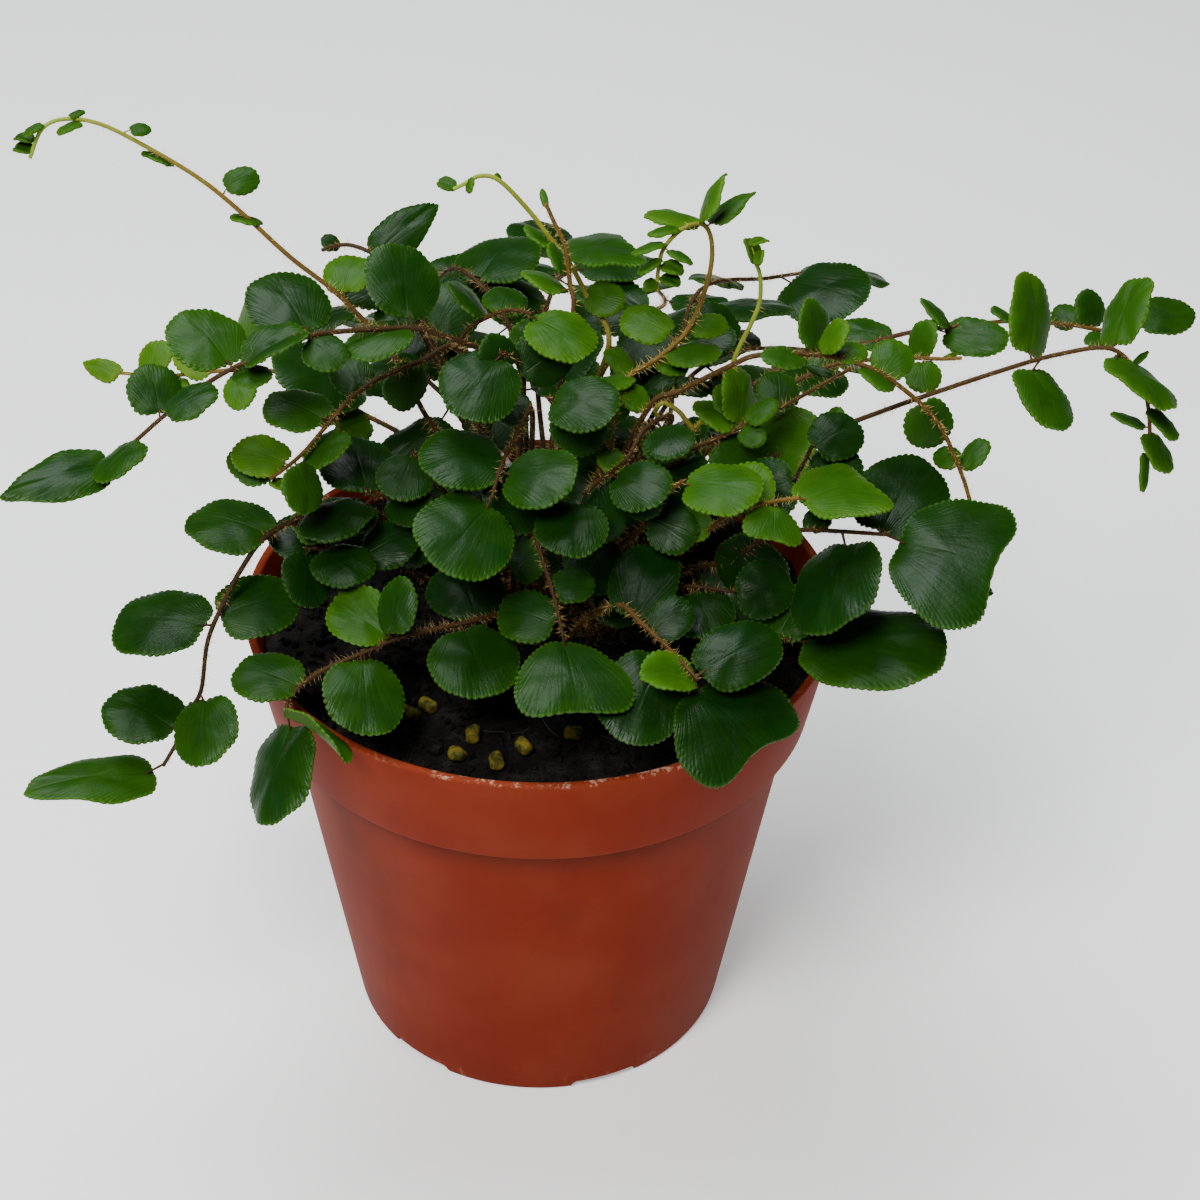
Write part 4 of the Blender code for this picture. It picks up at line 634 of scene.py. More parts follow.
fronds = (
    Frond("frond_left_tall", (-4, 6), (0.6, 0.12, 1.15), (
        (428, 419, 5), (396, 360, 8), (344, 300, 11), (290, 257, 13), (243, 214, 15), (200, 179, 16),
        (145, 146, 17), (100, 124, 18), (65, 119, 18), (42, 129, 17), (30, 158, 16)), (
        (344, 291, 350, 250, 50, "round", 0, 0.72), (262, 222, 230, 212, 7, "oval"),
        (224, 187, 258, 172, 28, "oval"), (173, 163, 143, 148, 6, "oval"),
        (129, 129, 150, 127, 12, "oval"), (82, 120, 57, 131, 7, "long"), (68, 116, 84, 110, 5, "long"),
        (42, 122, 24, 134, 7, "long"), (33, 150, 12, 146, 12, "fold"), (34, 140, 13, 136, 9, "fold"))),
    Frond("frond_left_arch", (-1, 0), (0.4, 0.1, 0.3), (
        (505, 370, -3), (480, 349, -5), (440, 335, -7), (414, 328, -8), (334, 332, -12), (300, 339, -14),
        (241, 364, -17), (200, 388, -20), (165, 415, -23), (140, 437, -25), (113, 460, -27)), (
        (115, 458, 7, 490, 45, "point"), (140, 437, 103, 484, 28, "oval"), (160, 415, 150, 360, 55),
        (163, 413, 216, 392, 28, "oval"), (232, 364, 180, 305, 68), (240, 363, 308, 340, 28, "fold"),
        (308, 331, 270, 255, 74, "round", 0, 0.3), (305, 338, 345, 362, 40),
        (408, 318, 400, 238, 75, "round", 0, 0.3), (411, 322, 345, 350, 42, "oval"),
        (232, 368, 272, 384, 26, "oval"), (506, 369, 538, 370, 28))),
    Frond("frond_left_rear", (-9, 13), (0.78, 0.25, 0.6), (
        (410, 440, 24), (360, 412, 32), (300, 377, 38), (240, 370, 42), (165, 376, 46), (122, 373, 48)), (
        (120, 375, 79, 360, 22, "point"), (150, 374, 158, 338, 32), (160, 376, 178, 400, 40, "oval"),
        (215, 371, 178, 340, 45), (238, 371, 240, 408, 34, "oval"), (250, 370, 248, 285, 36, "oval"),
        (300, 377, 322, 345, 34), (372, 418, 340, 430, 40), (330, 396, 318, 425, 34))),
    Frond("frond_left_inner", (-6, -1), (0.45, 0.12, 0.4), (
        (460, 351, 4), (420, 362, 0), (380, 378, -5), (350, 399, -9), (328, 424, -13), (300, 456, -18),
        (270, 479, -22)), (
        (328, 417, 264, 393, 45), (345, 427, 305, 463, 28, "oval", 0, 0.5),
        (287, 462, 232, 442, 44, "round", 0, 0.66), (275, 478, 232, 440, 50, "oval", -1),
        (270, 480, 290, 490, 12, "fold", 0, 0.75), (362, 392, 340, 350, 42, "oval", -1),
        (392, 372, 422, 400, 50, "round", -1, 0.3), (296, 462, 308, 512, 38, "round", -1))),
    Frond("frond_rear_left_high", (-2, 12), (0.25, 0.1, 0.2), (
        (440, 360, 18), (415, 300, 24), (385, 262, 28), (350, 245, 31), (322, 250, 33)), (
        (372, 255, 438, 200, 42, "point", -1), (334, 251, 328, 232, 18), (398, 280, 340, 285, 48),
        (420, 310, 376, 318, 30, "oval"), (432, 335, 470, 285, 60))),
    Frond("frond_left_short", (-9, -6), (0.1, 0.08, 0.15), (
        (430, 520, -8), (400, 500, -12), (366, 494, -15)), (
        (367, 490, 350, 430, 78), (385, 498, 430, 510, 45, "oval"), (370, 500, 305, 540, 40, "oval"),
        (430, 516, 395, 560, 55, "round", -1))),
    Frond("frond_left_low", (-12, -1), (0.32, 0.1, 0.2), (
        (345, 505, -11), (300, 518, -15), (264, 538, -20), (242, 568, -24), (226, 598, -27),
        (208, 640, -31), (202, 686, -34), (194, 706, -35), (177, 742, -38), (163, 766, -40)), (
        (272, 532, 187, 508, 57), (290, 525, 373, 505, 44, "oval"), (207, 622, 109, 612, 70),
        (216, 614, 293, 592, 66, "round", 0, 0.36), (178, 728, 107, 690, 64), (203, 693, 209, 765, 65),
        (161, 767, 32, 783, 45, "point", 0, 0.45))),
    Frond("frond_front_left", (-4, -13), (0.3, 0.2, 0.25), (
        (500, 614, -26), (460, 624, -30), (400, 637, -34), (360, 654, -36), (320, 672, -38),
        (292, 694, -40), (286, 711, -43)), (
        (300, 684, 234, 662, 54), (363, 654, 368, 731, 81), (391, 637, 330, 598, 60, "fold", 0, 0.62),
        (462, 622, 487, 691, 88), (288, 716, 264, 820, 56, "oval"),
        (287, 709, 312, 785, 18, "fold", 0, 0.62), (478, 617, 455, 560, 78, "round", -1, 0.08),
        (390, 636, 405, 580, 37, "oval", -1))),
    Frond("frond_front_middle", (1, -9), (0.3, 0.1, 0.2), (
        (530, 520, -20), (546, 570, -28), (556, 604, -33), (563, 636, -37)), (
        (563, 636, 580, 712, 112, "fan"), (557, 622, 497, 606, 54), (553, 592, 592, 575, 38, "round", -1),
        (538, 548, 508, 575, 44, "oval", -1))),
    Frond("frond_centre", (-2, -4), (0.2, 0.1, 0.2), (
        (532, 410, -8), (520, 428, -12), (512, 444, -15), (504, 460, -19), (498, 476, -22),
        (492, 498, -25)), (
        (493, 499, 440, 562, 98), (506, 449, 422, 460, 60), (501, 472, 578, 485, 62),
        (526, 418, 500, 395, 36, "round", -1), (498, 470, 530, 530, 60, "round", -1, 0.05))),
    Frond("frond_centre_right", (7, -5), (0.22, 0.12, 0.2), (
        (672, 420, -3), (646, 428, -7), (626, 460, -13), (600, 480, -19), (584, 494, -23)), (
        (583, 497, 560, 552, 70, "round", 0, 0.1), (640, 446, 684, 440, 34), (612, 474, 668, 500, 50),
        (600, 482, 608, 540, 46, "oval", -1), (660, 424, 680, 460, 50))),
    Frond("frond_tall_nodding", (4, 1), (0.65, 0.32, 0.9), (
        (608, 452, -6), (614, 420, -4), (628, 378, 1), (654, 361, 5), (688, 330, 9), (708, 280, 12),
        (712, 245, 13), (704, 225, 12), (684, 228, 9), (664, 248, 6), (658, 272, 5), (657, 292, 4)), (
        (672, 333, 621, 310, 38, "oval"), (689, 329, 728, 318, 26, "oval"),
        (704, 222, 647, 208, 15, "oval"), (699, 222, 731, 175, 10, "point"),
        (709, 222, 754, 187, 15, "point"), (680, 226, 648, 233, 8, "long"),
        (665, 240, 632, 252, 7, "long"), (668, 248, 693, 262, 7, "long"), (660, 256, 637, 273, 8, "long"),
        (660, 264, 683, 272, 14, "fold"), (660, 276, 680, 284, 13, "fold"),
        (657, 280, 644, 290, 13, "fold"), (656, 364, 690, 364, 18, "oval"),
        (664, 356, 721, 354, 22, "oval"), (634, 372, 586, 387, 15, "oval"), (632, 382, 642, 412, 26),
        (614, 420, 586, 434, 30), (609, 446, 614, 472, 28))),
    Frond("frond_behind_nodding", (9, 9), (0.25, 0.12, 0.25), (
        (668, 420, 16), (672, 380, 22), (676, 345, 26), (690, 325, 28)), (
        (676, 345, 614, 342, 46), (690, 325, 742, 322, 46), (678, 338, 735, 345, 40, "oval"),
        (672, 380, 712, 388, 20, "oval"), (672, 372, 645, 392, 18, "oval"))),
    Frond("fiddlehead_small", (8, 3), (0.75, 0.6, 0.9), (
        (690, 440, 2), (684, 418, 3), (674, 408, 4), (663, 403, 4), (655, 411, 4), (662, 420, 4),
        (668, 413, 4)), ()),
    Frond("fiddlehead_thin", (0, 8), (0.65, 0.6, 1.05), (
        (609, 344, 13), (590, 302, 17), (570, 264, 19), (550, 238, 20), (530, 212, 21), (500, 181, 21),
        (480, 176, 21), (464, 184, 20), (452, 190, 20)), (
        (558, 248, 527, 222, 11, "oval"), (563, 252, 638, 238, 37, "lobed", -1, 0.4),
        (584, 292, 623, 303, 37), (469, 177, 468, 193, 7, "oval"), (500, 182, 498, 172, 5, "oval"),
        (456, 188, 437, 180, 14, "fold"), (608, 345, 632, 372, 22, "oval"))),
    Frond("frond_upright_brown", (-1, 4), (0.6, 0.35, 0.5), (
        (573, 316, 7), (570, 284, 9), (565, 246, 11), (554, 222, 12), (546, 204, 12)), (
        (547, 206, 541, 186, 8, "thin"), (568, 291, 524, 266, 14, "oval"),
        (566, 274, 552, 240, 14, "long"))),
    Frond("frond_crown_left", (-6, 4), (0.35, 0.15, 0.3), (
        (462, 362, 9), (466, 332, 9), (490, 316, 7), (512, 310, 5), (532, 314, 2)), (
        (532, 314, 592, 350, 52, "round", 0, 0.6), (488, 317, 452, 276, 16, "oval"),
        (500, 312, 512, 284, 45, "round", -1), (530, 315, 545, 372, 60, "round", -1))),
    Frond("frond_crown_low", (-5, -3), (0.22, 0.1, 0.2), (
        (524, 380, -1), (512, 358, -5), (500, 352, -7)), (
        (500, 352, 460, 414, 80), (516, 366, 478, 350, 40, "round", -1), (522, 376, 560, 352, 60))),
    Frond("frond_crown_middle", (3, -2), (0.2, 0.1, 0.2), (
        (560, 430, -6), (556, 408, -9), (548, 398, -11)), (
        (548, 398, 618, 404, 56), (556, 410, 600, 440, 60, "round", -1))),
    Frond("frond_right_rear", (12, 11), (0.45, 0.2, 0.45), (
        (760, 380, 20), (820, 352, 23), (868, 343, 25), (912, 332, 26), (960, 326, 27), (1014, 321, 28),
        (1070, 325, 28), (1106, 330, 28), (1137, 320, 28)), (
        (893, 337, 838, 325, 32, "oval"), (940, 330, 1006, 340, 38, "long"),
        (950, 327, 920, 302, 9, "long"), (930, 331, 934, 318, 10, "oval"),
        (1015, 321, 993, 305, 8, "oval"), (1074, 326, 1056, 305, 28, "oval", -1),
        (1092, 328, 1088, 290, 32), (1137, 320, 1197, 303, 40, "oval"),
        (1100, 330, 1092, 346, 22, "oval"), (838, 348, 812, 372, 30, "oval"))),
    Frond("frond_right_long", (11, 0), (0.58, 0.2, 0.4), (
        (760, 464, 4), (820, 435, 6), (880, 412, 5), (922, 397, 4), (1000, 371, 2), (1060, 354, 0),
        (1112, 349, -2), (1140, 378, -4), (1148, 406, -5), (1150, 436, -6), (1150, 452, -6)), (
        (1032, 358, 1036, 266, 40, "long"), (1030, 362, 1056, 434, 44, "oval"),
        (1110, 347, 1140, 268, 38, "long"), (1112, 350, 1165, 412, 28, "oval"),
        (1130, 366, 1150, 352, 6, "thin"), (1150, 406, 1178, 437, 14, "long"),
        (1147, 427, 1114, 411, 8, "long"), (1150, 430, 1170, 470, 22, "oval"),
        (1148, 450, 1145, 492, 9, "thin"), (820, 435, 838, 404, 18, "oval", -1),
        (818, 436, 742, 455, 86, "round", -1))),
    Frond("frond_right_inner", (8, -1), (0.4, 0.2, 0.45), (
        (680, 457, -3), (720, 437, -1), (760, 418, 2), (800, 397, 5), (830, 380, 7), (852, 368, 8)), (
        (741, 425, 742, 364, 34, "oval", 0, 0.65), (740, 424, 717, 388, 26, "oval", 0, 0.6),
        (746, 422, 776, 402, 20, "oval", 0, 0.65), (738, 428, 698, 398, 24, "oval", 0, 0.6),
        (738, 430, 764, 440, 24, "oval", 0, 0.6), (780, 408, 776, 374, 44, "round", -1),
        (836, 377, 806, 366, 10, "thin"), (700, 448, 640, 470, 48), (716, 440, 770, 490, 60, "round", -1))),
    Frond("frond_right_arch", (6, -3), (0.5, 0.25, 0.5), (
        (650, 406, -5), (680, 391, -5), (730, 366, -6), (760, 355, -6), (820, 355, -6), (870, 368, -8),
        (912, 396, -10), (940, 426, -12), (960, 470, -14), (968, 494, -15), (975, 524, -17),
        (976, 560, -19), (965, 594, -21)), (
        (806, 354, 762, 355, 22, "oval"), (816, 352, 819, 297, 32, "oval"),
        (824, 354, 844, 320, 22, "round", 0, 0.7), (836, 357, 866, 344, 24, "round", 0, 0.7),
        (862, 364, 893, 388, 14, "oval"), (880, 374, 905, 344, 44, "round", -1),
        (920, 402, 940, 447, 50, "round", -1), (957, 463, 936, 450, 26, "oval"),
        (963, 470, 982, 435, 24, "oval"), (976, 540, 993, 536, 12, "oval"),
        (967, 590, 948, 600, 14, "fold"), (968, 592, 994, 590, 14, "fold"))),
    Frond("frond_right_thin", (13, 5), (0.6, 0.25, 0.5), (
        (780, 392, 12), (826, 368, 14), (857, 361, 15), (905, 358, 16), (942, 359, 16), (962, 358, 16)), (
        (922, 358, 926, 392, 36), (920, 358, 926, 320, 28), (942, 359, 960, 352, 6, "thin"))),
    Frond("fiddlehead_right", (10, 6), (0.8, 0.72, 1.0), (
        (712, 410, 9), (726, 382, 11), (738, 350, 13), (752, 322, 14), (760, 300, 15), (760, 275, 15),
        (755, 262, 15)), (
        (756, 264, 748, 236, 14, "fold"), (757, 266, 764, 250, 8, "fold"),
        (749, 244, 769, 239, 6, "fold"))),
    Frond("frond_right_front", (13, -6), (0.16, 0.12, 0.2), (
        (730, 560, -14), (768, 536, -18), (800, 530, -21), (850, 532, -24), (890, 535, -26)), (
        (880, 532, 925, 448, 92, "oval"), (892, 536, 1004, 566, 86, "lobed"),
        (845, 533, 828, 640, 81, "round", 0, 0.1), (808, 530, 826, 508, 26),
        (756, 540, 742, 602, 76, "round", -1, 0.05))),
    Frond("frond_right_low", (14, -10), (0.26, 0.12, 0.2), (
        (720, 640, -22), (756, 636, -26), (792, 640, -30)), (
        (792, 636, 940, 642, 82, "oval"), (730, 640, 752, 545, 86, "oval", 0, 0.08),
        (776, 638, 812, 590, 50, "round", -1))),
    Frond("frond_right_bright", (9, -9), (0.62, 0.3, 0.5), (
        (690, 545, -16), (730, 514, -20), (772, 502, -23), (800, 498, -25)), (
        (798, 499, 880, 474, 62, "lobed"), (775, 503, 773, 542, 56, "fan"), (740, 511, 758, 460, 52),
        (712, 528, 655, 515, 36, "oval"))),
    Frond("frond_centre_bright", (4, -7), (0.25, 0.2, 0.4), (
        (640, 530, -14), (660, 500, -18), (682, 481, -21)), (
        (682, 481, 759, 488, 54, "round", 0, 0.55), (664, 498, 620, 492, 50, "round", -1),
        (648, 516, 690, 545, 50, "round", -1))),
    Frond("frond_inner_left", (-14, -7), (0.08, 0.05, 0.1), (
        (400, 566, -12), (350, 552, -16), (305, 548, -19)), (
        (362, 555, 415, 536, 46), (318, 548, 368, 584, 50), (306, 549, 312, 606, 48),
        (385, 562, 330, 520, 50, "round", -1), (330, 548, 270, 530, 46, "round", -1))),
    Frond("frond_inner_centre", (-8, -9), (0.1, 0.05, 0.1), (
        (478, 540, -8), (445, 492, -10), (412, 452, -11)), (
        (413, 453, 396, 496, 56), (445, 492, 486, 512, 56), (430, 474, 470, 438, 50, "round", -1))),
    Frond("frond_inner_middle", (0, -12), (0.08, 0.05, 0.1), (
        (560, 560, -12), (600, 522, -14), (640, 506, -15)), (
        (605, 520, 640, 480, 52), (586, 532, 604, 592, 62), (640, 506, 694, 506, 50),
        (570, 550, 520, 545, 46, "round", -1))),
    Frond("frond_inner_right", (9, -13), (0.06, 0.05, 0.1), (
        (640, 600, -16), (680, 586, -20), (734, 592, -24)), (
        (652, 596, 606, 548, 62), (690, 587, 716, 632, 60), (642, 600, 596, 604, 50),
        (734, 592, 792, 588, 58))),
    Frond("frond_inner_rear", (16, 0), (0.12, 0.05, 0.1), (
        (780, 500, -6), (800, 470, -8), (812, 446, -9)), (
        (812, 446, 862, 420, 50), (796, 478, 742, 500, 62, "round", -1), (806, 460, 860, 480, 50))),
    Frond("frond_front_right", (5, -15), (0.18, 0.35, 0.3), (
        (620, 605, -28), (640, 622, -32), (660, 640, -36), (680, 660, -41), (698, 680, -45)), (
        (697, 672, 779, 630, 68, "oval"), (698, 676, 638, 680, 40, "fold", 0, 0.6),
        (694, 682, 770, 756, 116, "lobed"), (664, 648, 625, 738, 86, "oval"),
        (632, 616, 655, 540, 70, "oval", 0, 0.04), (650, 632, 690, 606, 44, "round", -1, 0.04))),
)

growth = {
    "stemRadius": 0.65 * mm, "step": 15 * mm, "placesPerStep": 6, "bowLift": 0.12, "startPull": 0.8,
    "rootDepth": 5 * mm, "rootRise": 3 * mm, "finer": 6, "stemSlack": 1.3,
    "shifts": (0, 2, -2, 4, -4, 6, -6, 8, -8),
    "bows": ((0, 0), (3, 0), (-3, 0), (0, 3), (0, -3), (5, 3), (-5, 3), (5, -3), (-5, -3), (8, 0), (-8, 0),
             (0, 8), (0, -8)),
    "slides": (0, 1.5, -1.5, 3, -3), "bends": (10, -10, 20, -20, 32, -32, 45, -45), "lastBends": (60, -60),
    "sizes": (1.0, 0.92, 0.82), "lastSize": 0.7, "bothWays": 0.7,
    "solidThickness": 0.62 * mm, "solidSlack": 0.06 * mm, "solidShare": 0.6, "scallop": 0.03,
    "cup": 0.07, "wave": 0.014, "crease": 0.02, "notchSpread": 0.4, "forwardGain": 1.5,
    "leastLean": math.radians(18), "leastTurn": math.radians(14),
    "rimPoints": ((19.5 * mm, 12), (12.5 * mm, 10), (6.5 * mm, 8), (4.5 * mm, 6), (0, 4)),
}

rear = {
    "count": 7, "seed": 7, "first": math.radians(28), "sweep": math.radians(124), "turn": 0.12,
    "reach": (48 * mm, 80 * mm), "peak": (106 * mm, 132 * mm), "droop": (6 * mm, 30 * mm), "sway": 4 * mm,
    "middle": Vector((2 * mm, 9 * mm, 0)), "ring": 9 * mm, "tries": 40, "leaflets": 6, "bare": 0.3,
    "rise": ((0.25, 0.8), (0.5, 1.0), (0.78, 0.8), (1.0, 0.0)), "tones": (0.2, 0.1, 0.25),
    "hangFrom": 0.5, "hang": 1.6, "leafForward": (0.1, 0.5), "leafRise": (-0.5, 0.35),
    "leafTilt": (-0.4, 0.4), "stalk": 1.2 * mm, "leafLength": (12 * mm, 19 * mm), "rimPoints": 8,
    "forms": ("round", "round", "oval"),
}


def smoothRoute(points, startPull, finer):
    # points along a smooth curve through the given ones
    pulls = [startPull] + [(after - before) / 2 for before, after in zip(points, points[2:])]
    pulls.append((points[-1] - points[-2]) / 2)
    route = [points[0]]
    for start, end, leaving, arriving in zip(points, points[1:], pulls, pulls[1:]):
        count = max(1, round((end - start).length / growth["step"])) * finer
        for step in range(1, count + 1):
            t = step / count
            place = start * (2 * t**3 - 3 * t**2 + 1) + leaving * (t**3 - 2 * t**2 + t)
            place += end * (3 * t**2 - 2 * t**3) + arriving * (t**3 - t**2)
            route.append(place)
    return route


def routeThrough(root, picks, finer=1):
    ground = soilHeight(*root)
    low = Vector((*root, ground - growth["rootDepth"]))
    top = Vector((*root, ground + growth["rootRise"]))
    reach = (picks[0] - top).length
    return [low] + smoothRoute([top] + picks, Vector((0, 0, reach * growth["startPull"])), finer)


def dense(route):
    places = []
    for start, end in zip(route, route[1:]):
        places += [start.lerp(end, step / growth["placesPerStep"]) for step in range(growth["placesPerStep"])]
    return places + [route[-1]]


def onNode(route, tree):
    limit = growth["stemSlack"] * growth["stemRadius"]
    return all(tree.find_nearest(place)[3] < limit for place in route)


def routeFor(frond, tree):
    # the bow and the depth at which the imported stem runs, as a coarse and a fine route
    root = (frond.root[0] * mm, frond.root[1] * mm)
    top = Vector((*root, soilHeight(*root) + growth["rootRise"]))
    for shift, bow in product(growth["shifts"], growth["bows"]):
        picks = [sight(column, row, (depth + shift) * mm) for column, row, depth in frond.stem]
        lift = (picks[0] - top).length * growth["bowLift"]
        guide = top.lerp(picks[0], 0.5) + Vector((bow[0] * mm, bow[1] * mm, lift))
        route = routeThrough(root, [guide] + picks)
        if onNode(route, tree):
            break
    else:
        print("no route for", frond.name)
    return route, routeThrough(root, [guide] + picks, growth["finer"])


def poseFromPicture(leaf, route, taken):
    # stand a leaflet in space so that it is seen as it is in the picture
    baseSeen = Vector((leaf.baseU, leaf.baseV))
    free = [place for place in dense(route[2:])[:-1] if place not in taken]
    joint = min(free, key=lambda place: (seen(place) - baseSeen).length)
    taken.append(joint)
    base = sight(leaf.baseU, leaf.baseV, joint.y)
    scale = (base - eye).dot(ahead) / view["scale"]
    acrossU = (leaf.tipU - leaf.baseU) * scale
    upV = (leaf.baseV - leaf.tipV) * scale
    seenLength = math.hypot(acrossU, upV)
    seenBreadth = leaf.breadth * scale
    outline = outlines[leaf.form]
    length = max(seenLength, seenBreadth / outline.breadth)
    lean = max(growth["leastLean"], math.acos(seenLength / length))
    length = max(length, seenLength / math.cos(lean))
    side = leaf.lean or (1 if upV < 0 else -1)
    toEye = (eye - base).normalized()
    along = (pictureRight * acrossU + pictureUp * upV) / seenLength * math.cos(lean)
    along += toEye * math.sin(lean) * side
    along.normalize()
    face = (toEye - along * toEye.dot(along)).normalized()
    turn = max(growth["leastTurn"], math.acos(min(1.0, seenBreadth / (length * outline.breadth))))
    faces = [Matrix.Rotation(angle, 3, along) @ face for angle in (turn, -turn)]
    face = max(faces, key=lambda choice: choice.z)
    breadth = max(length * outline.breadth, seenBreadth / math.cos(turn))
    points = next(count for least, count in growth["rimPoints"] if length > least)
    return Pose(joint, base, along, along.cross(face), face, length, breadth, outline, points)


def bent(pose, slide, tilt, turn, size):
    tiltMatrix = Matrix.Rotation(tilt, 3, pose.across)
    along = tiltMatrix @ pose.along
    face = Matrix.Rotation(turn, 3, along) @ (tiltMatrix @ pose.face)
    base = pose.base + (eye - pose.base).normalized() * slide
    return pose._replace(base=base, along=along, face=face, across=along.cross(face),
                         length=pose.length * size, breadth=pose.breadth * size)


def tries():
    # the slide, tilt, turn and size of each way in which the solid leaflet may stand
    yield 0.0, 0.0, 0.0, 1.0
    for size, angle, slide in product(growth["sizes"], growth["bends"], growth["slides"]):
        bend = math.radians(angle)
        for tilt, turn in ((bend, 0.0), (0.0, bend), (bend, bend * growth["bothWays"])):
            yield slide * mm, tilt, turn, size
    for angle in growth["lastBends"]:
        yield 0.0, math.radians(angle), 0.0, growth["lastSize"]


def onBlade(outline, angle, reach):
    # a place on a blade as shares of its length and breadth; angle 0 is the tip and reach 1 the rim
    notch = 1 - outline.notch * math.exp(-((angle / growth["notchSpread"]) ** 2))
    full = math.copysign(abs(math.sin(angle)) ** outline.fullness, angle)
    forward = 1 + outline.forward * math.cos(angle) * growth["forwardGain"]
    return 0.5 + 0.5 * math.cos(angle) * reach * notch, 0.5 * full * reach * forward


def bladeHeight(pose, u, v, angle, radius, crease):
    # how far a blade's cup, fold and wave lift it there, as a share of its length
    bow = -growth["cup"] * ((2 * u - 1) ** 2 + (2 * v) ** 2)
    bow += pose.outline.fold * (math.hypot(v, crease) - crease) * pose.outline.breadth
    return bow + growth["wave"] * math.cos(angle * 3 + pose.length / mm) * radius


def inSpace(pose, u, v, lift):
    place = pose.base + pose.along * (u * pose.length) + pose.across * (v * pose.breadth)
    return place + pose.face * lift


def onSolid(pose, tree):
    # whether most of the solid leaflet's rim points, held this way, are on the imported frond
    near = 0
    for number in range(1 - pose.points // 2, pose.points // 2):
        angle = number * math.tau / pose.points
        u, v = onBlade(pose.outline, angle, 1 + growth["scallop"] * (1 if number % 2 else -1))
        lift = bladeHeight(pose, u, v, angle, 1, 0) * pose.length + growth["solidThickness"] / 2
        near += tree.find_nearest(inSpace(pose, u, v, lift))[3] < growth["solidSlack"]
    return near >= growth["solidShare"] * (pose.points - 1)


def fitted(pose, tree):
    choices = (bent(pose, *choice) for choice in tries())
    return next((choice for choice in choices if onSolid(choice, tree)), None)


# How the fine leaflets and stems look
leafLook = {
    "thickness": 0.34 * mm, "toothPeriod": 1.15 * mm, "toothDepth": 0.19 * mm, "furrow": 0.09 * mm,
    "curl": 0.16 * mm, "rings": (0.3, 0.6, 0.8, 0.92, 1.0), "splits": (0, 2), "crimp": 0.010, "pucker": 0.007,
    "heart": 0.055, "heartSpread": 0.38, "groove": 0.012, "grooveSpread": 0.05, "deepestTooth": 0.04,
    "grownLength": 14 * mm, "wobble": ((2, 0.024), (5, 0.014), (3, 0.014)), "toneSpread": 0.09,
    "stalkRadius": (0.26 * mm, 0.17 * mm), "stalkEnd": 0.11, "sharpFrom": 55,
    "tones": ((0.0, (0.002, 0.013, 0.0008)), (0.3, (0.0055, 0.032, 0.001)), (0.6, (0.016, 0.066, 0.001)),
              (0.85, (0.042, 0.115, 0.0015)), (1.0, (0.09, 0.165, 0.006))),
    "edge": (0.06, 0.16, 0.008), "edgeOld": (0.022, 0.068, 0.004), "under": (0.010, 0.036, 0.004),
    "underYoung": (0.05, 0.12, 0.008), "cool": (0.0035, 0.024, 0.0045),
}
stemLook = {
    "radius": (0.56 * mm, 0.34 * mm), "hairGap": (0.03 * mm, 0.08 * mm), "hairScatter": 0.13 * mm,
    "hairLength": (0.8 * mm, 2.5 * mm), "hairBias": 1.6, "hairRadius": 0.042 * mm, "hairOut": (0.6, 1.2),
    "hairForward": (-0.4, 0.9), "hairSeat": (0.15 * mm, 0.4 * mm), "bareFoot": 7 * mm, "smoothTone": 0.55,
    "thinning": 4,
    "tones": ((0.0, (0.014, 0.007, 0.002)), (0.3, (0.048, 0.023, 0.0045)), (0.55, (0.145, 0.085, 0.014)),
              (0.8, (0.19, 0.20, 0.02)), (1.0, (0.22, 0.33, 0.03))),
    "hair": (0.52, 0.34, 0.14), "hairDeep": (0.19, 0.10, 0.034), "hairYoung": (0.66, 0.50, 0.16),
}


def leafSurface():
    graph = Graph("leaflet")
    tone = graph.own("tone")
    under = graph.own("under")
    along = graph.own("along")
    across = graph.own("across")
    rim = graph.own("rim").step(0.45, 0.9)
    patch = graph.cloud(260, 4)
    grain = graph.cloud(2200, 3)
    fan = across.turnFrom(along + 0.10)
    # forked veins: each ring of the blade has twice as many as the one inside it
    outward = graph.own("reach")
    inner = (fan * 22.0).sine().size()
    middle = (fan * 44.0 + 0.8).sine().size()
    outer = (fan * 88.0 + 1.7).sine().size()
    nearRim = outward.step(0.55, 0.75)
    atRim = outward.step(0.8, 0.92)
    veins = inner * (1 - nearRim) + middle * nearRim * (1 - atRim) + outer * atRim
    vein = (1 - veins) ** 3
    strands = graph.strands(fan * 26, outward * 2.2, tone * 40)
    rib = (1 - (across / 0.02).size()).clipped() * (1 - along.step(0.15, 0.75))
    ripe = tone + (patch - 0.5) * 0.24 + (strands - 0.5) * 0.16 + vein * 0.03 + outward**3 * 0.2 - 0.06
    shade = graph.ramp(ripe.clipped(), leafLook["tones"])
    cool = graph.cloud(120, 3).step(0.45, 0.7) * (1 - tone.step(0.3, 0.7))
    shade = graph.mix(cool * 0.5, shade, leafLook["cool"])
    edge = graph.mix((tone * 1.4).clipped(), leafLook["edgeOld"], leafLook["edge"])
    shade = graph.mix(rim * (0.45 + tone * 0.5), shade, edge)
    pale = graph.mix((tone * 1.1).clipped(), leafLook["under"], leafLook["underYoung"])
    shade = graph.mix(under.step(0.4, 0.9), shade, pale)
    rough = 0.22 + patch * 0.2 + under * 0.2 + tone * 0.14
    ridged = veins * (0.10 + outward.step(0.45, 0.95) * 0.25) + strands * 0.6
    relief = graph.bump(ridged + patch * 1.5 + grain * 0.35 - rib * 0.5, 0.45, 0.22 * mm)
    return graph.finish(colour=shade, roughness=rough, normal=relief, gloss=0.11)


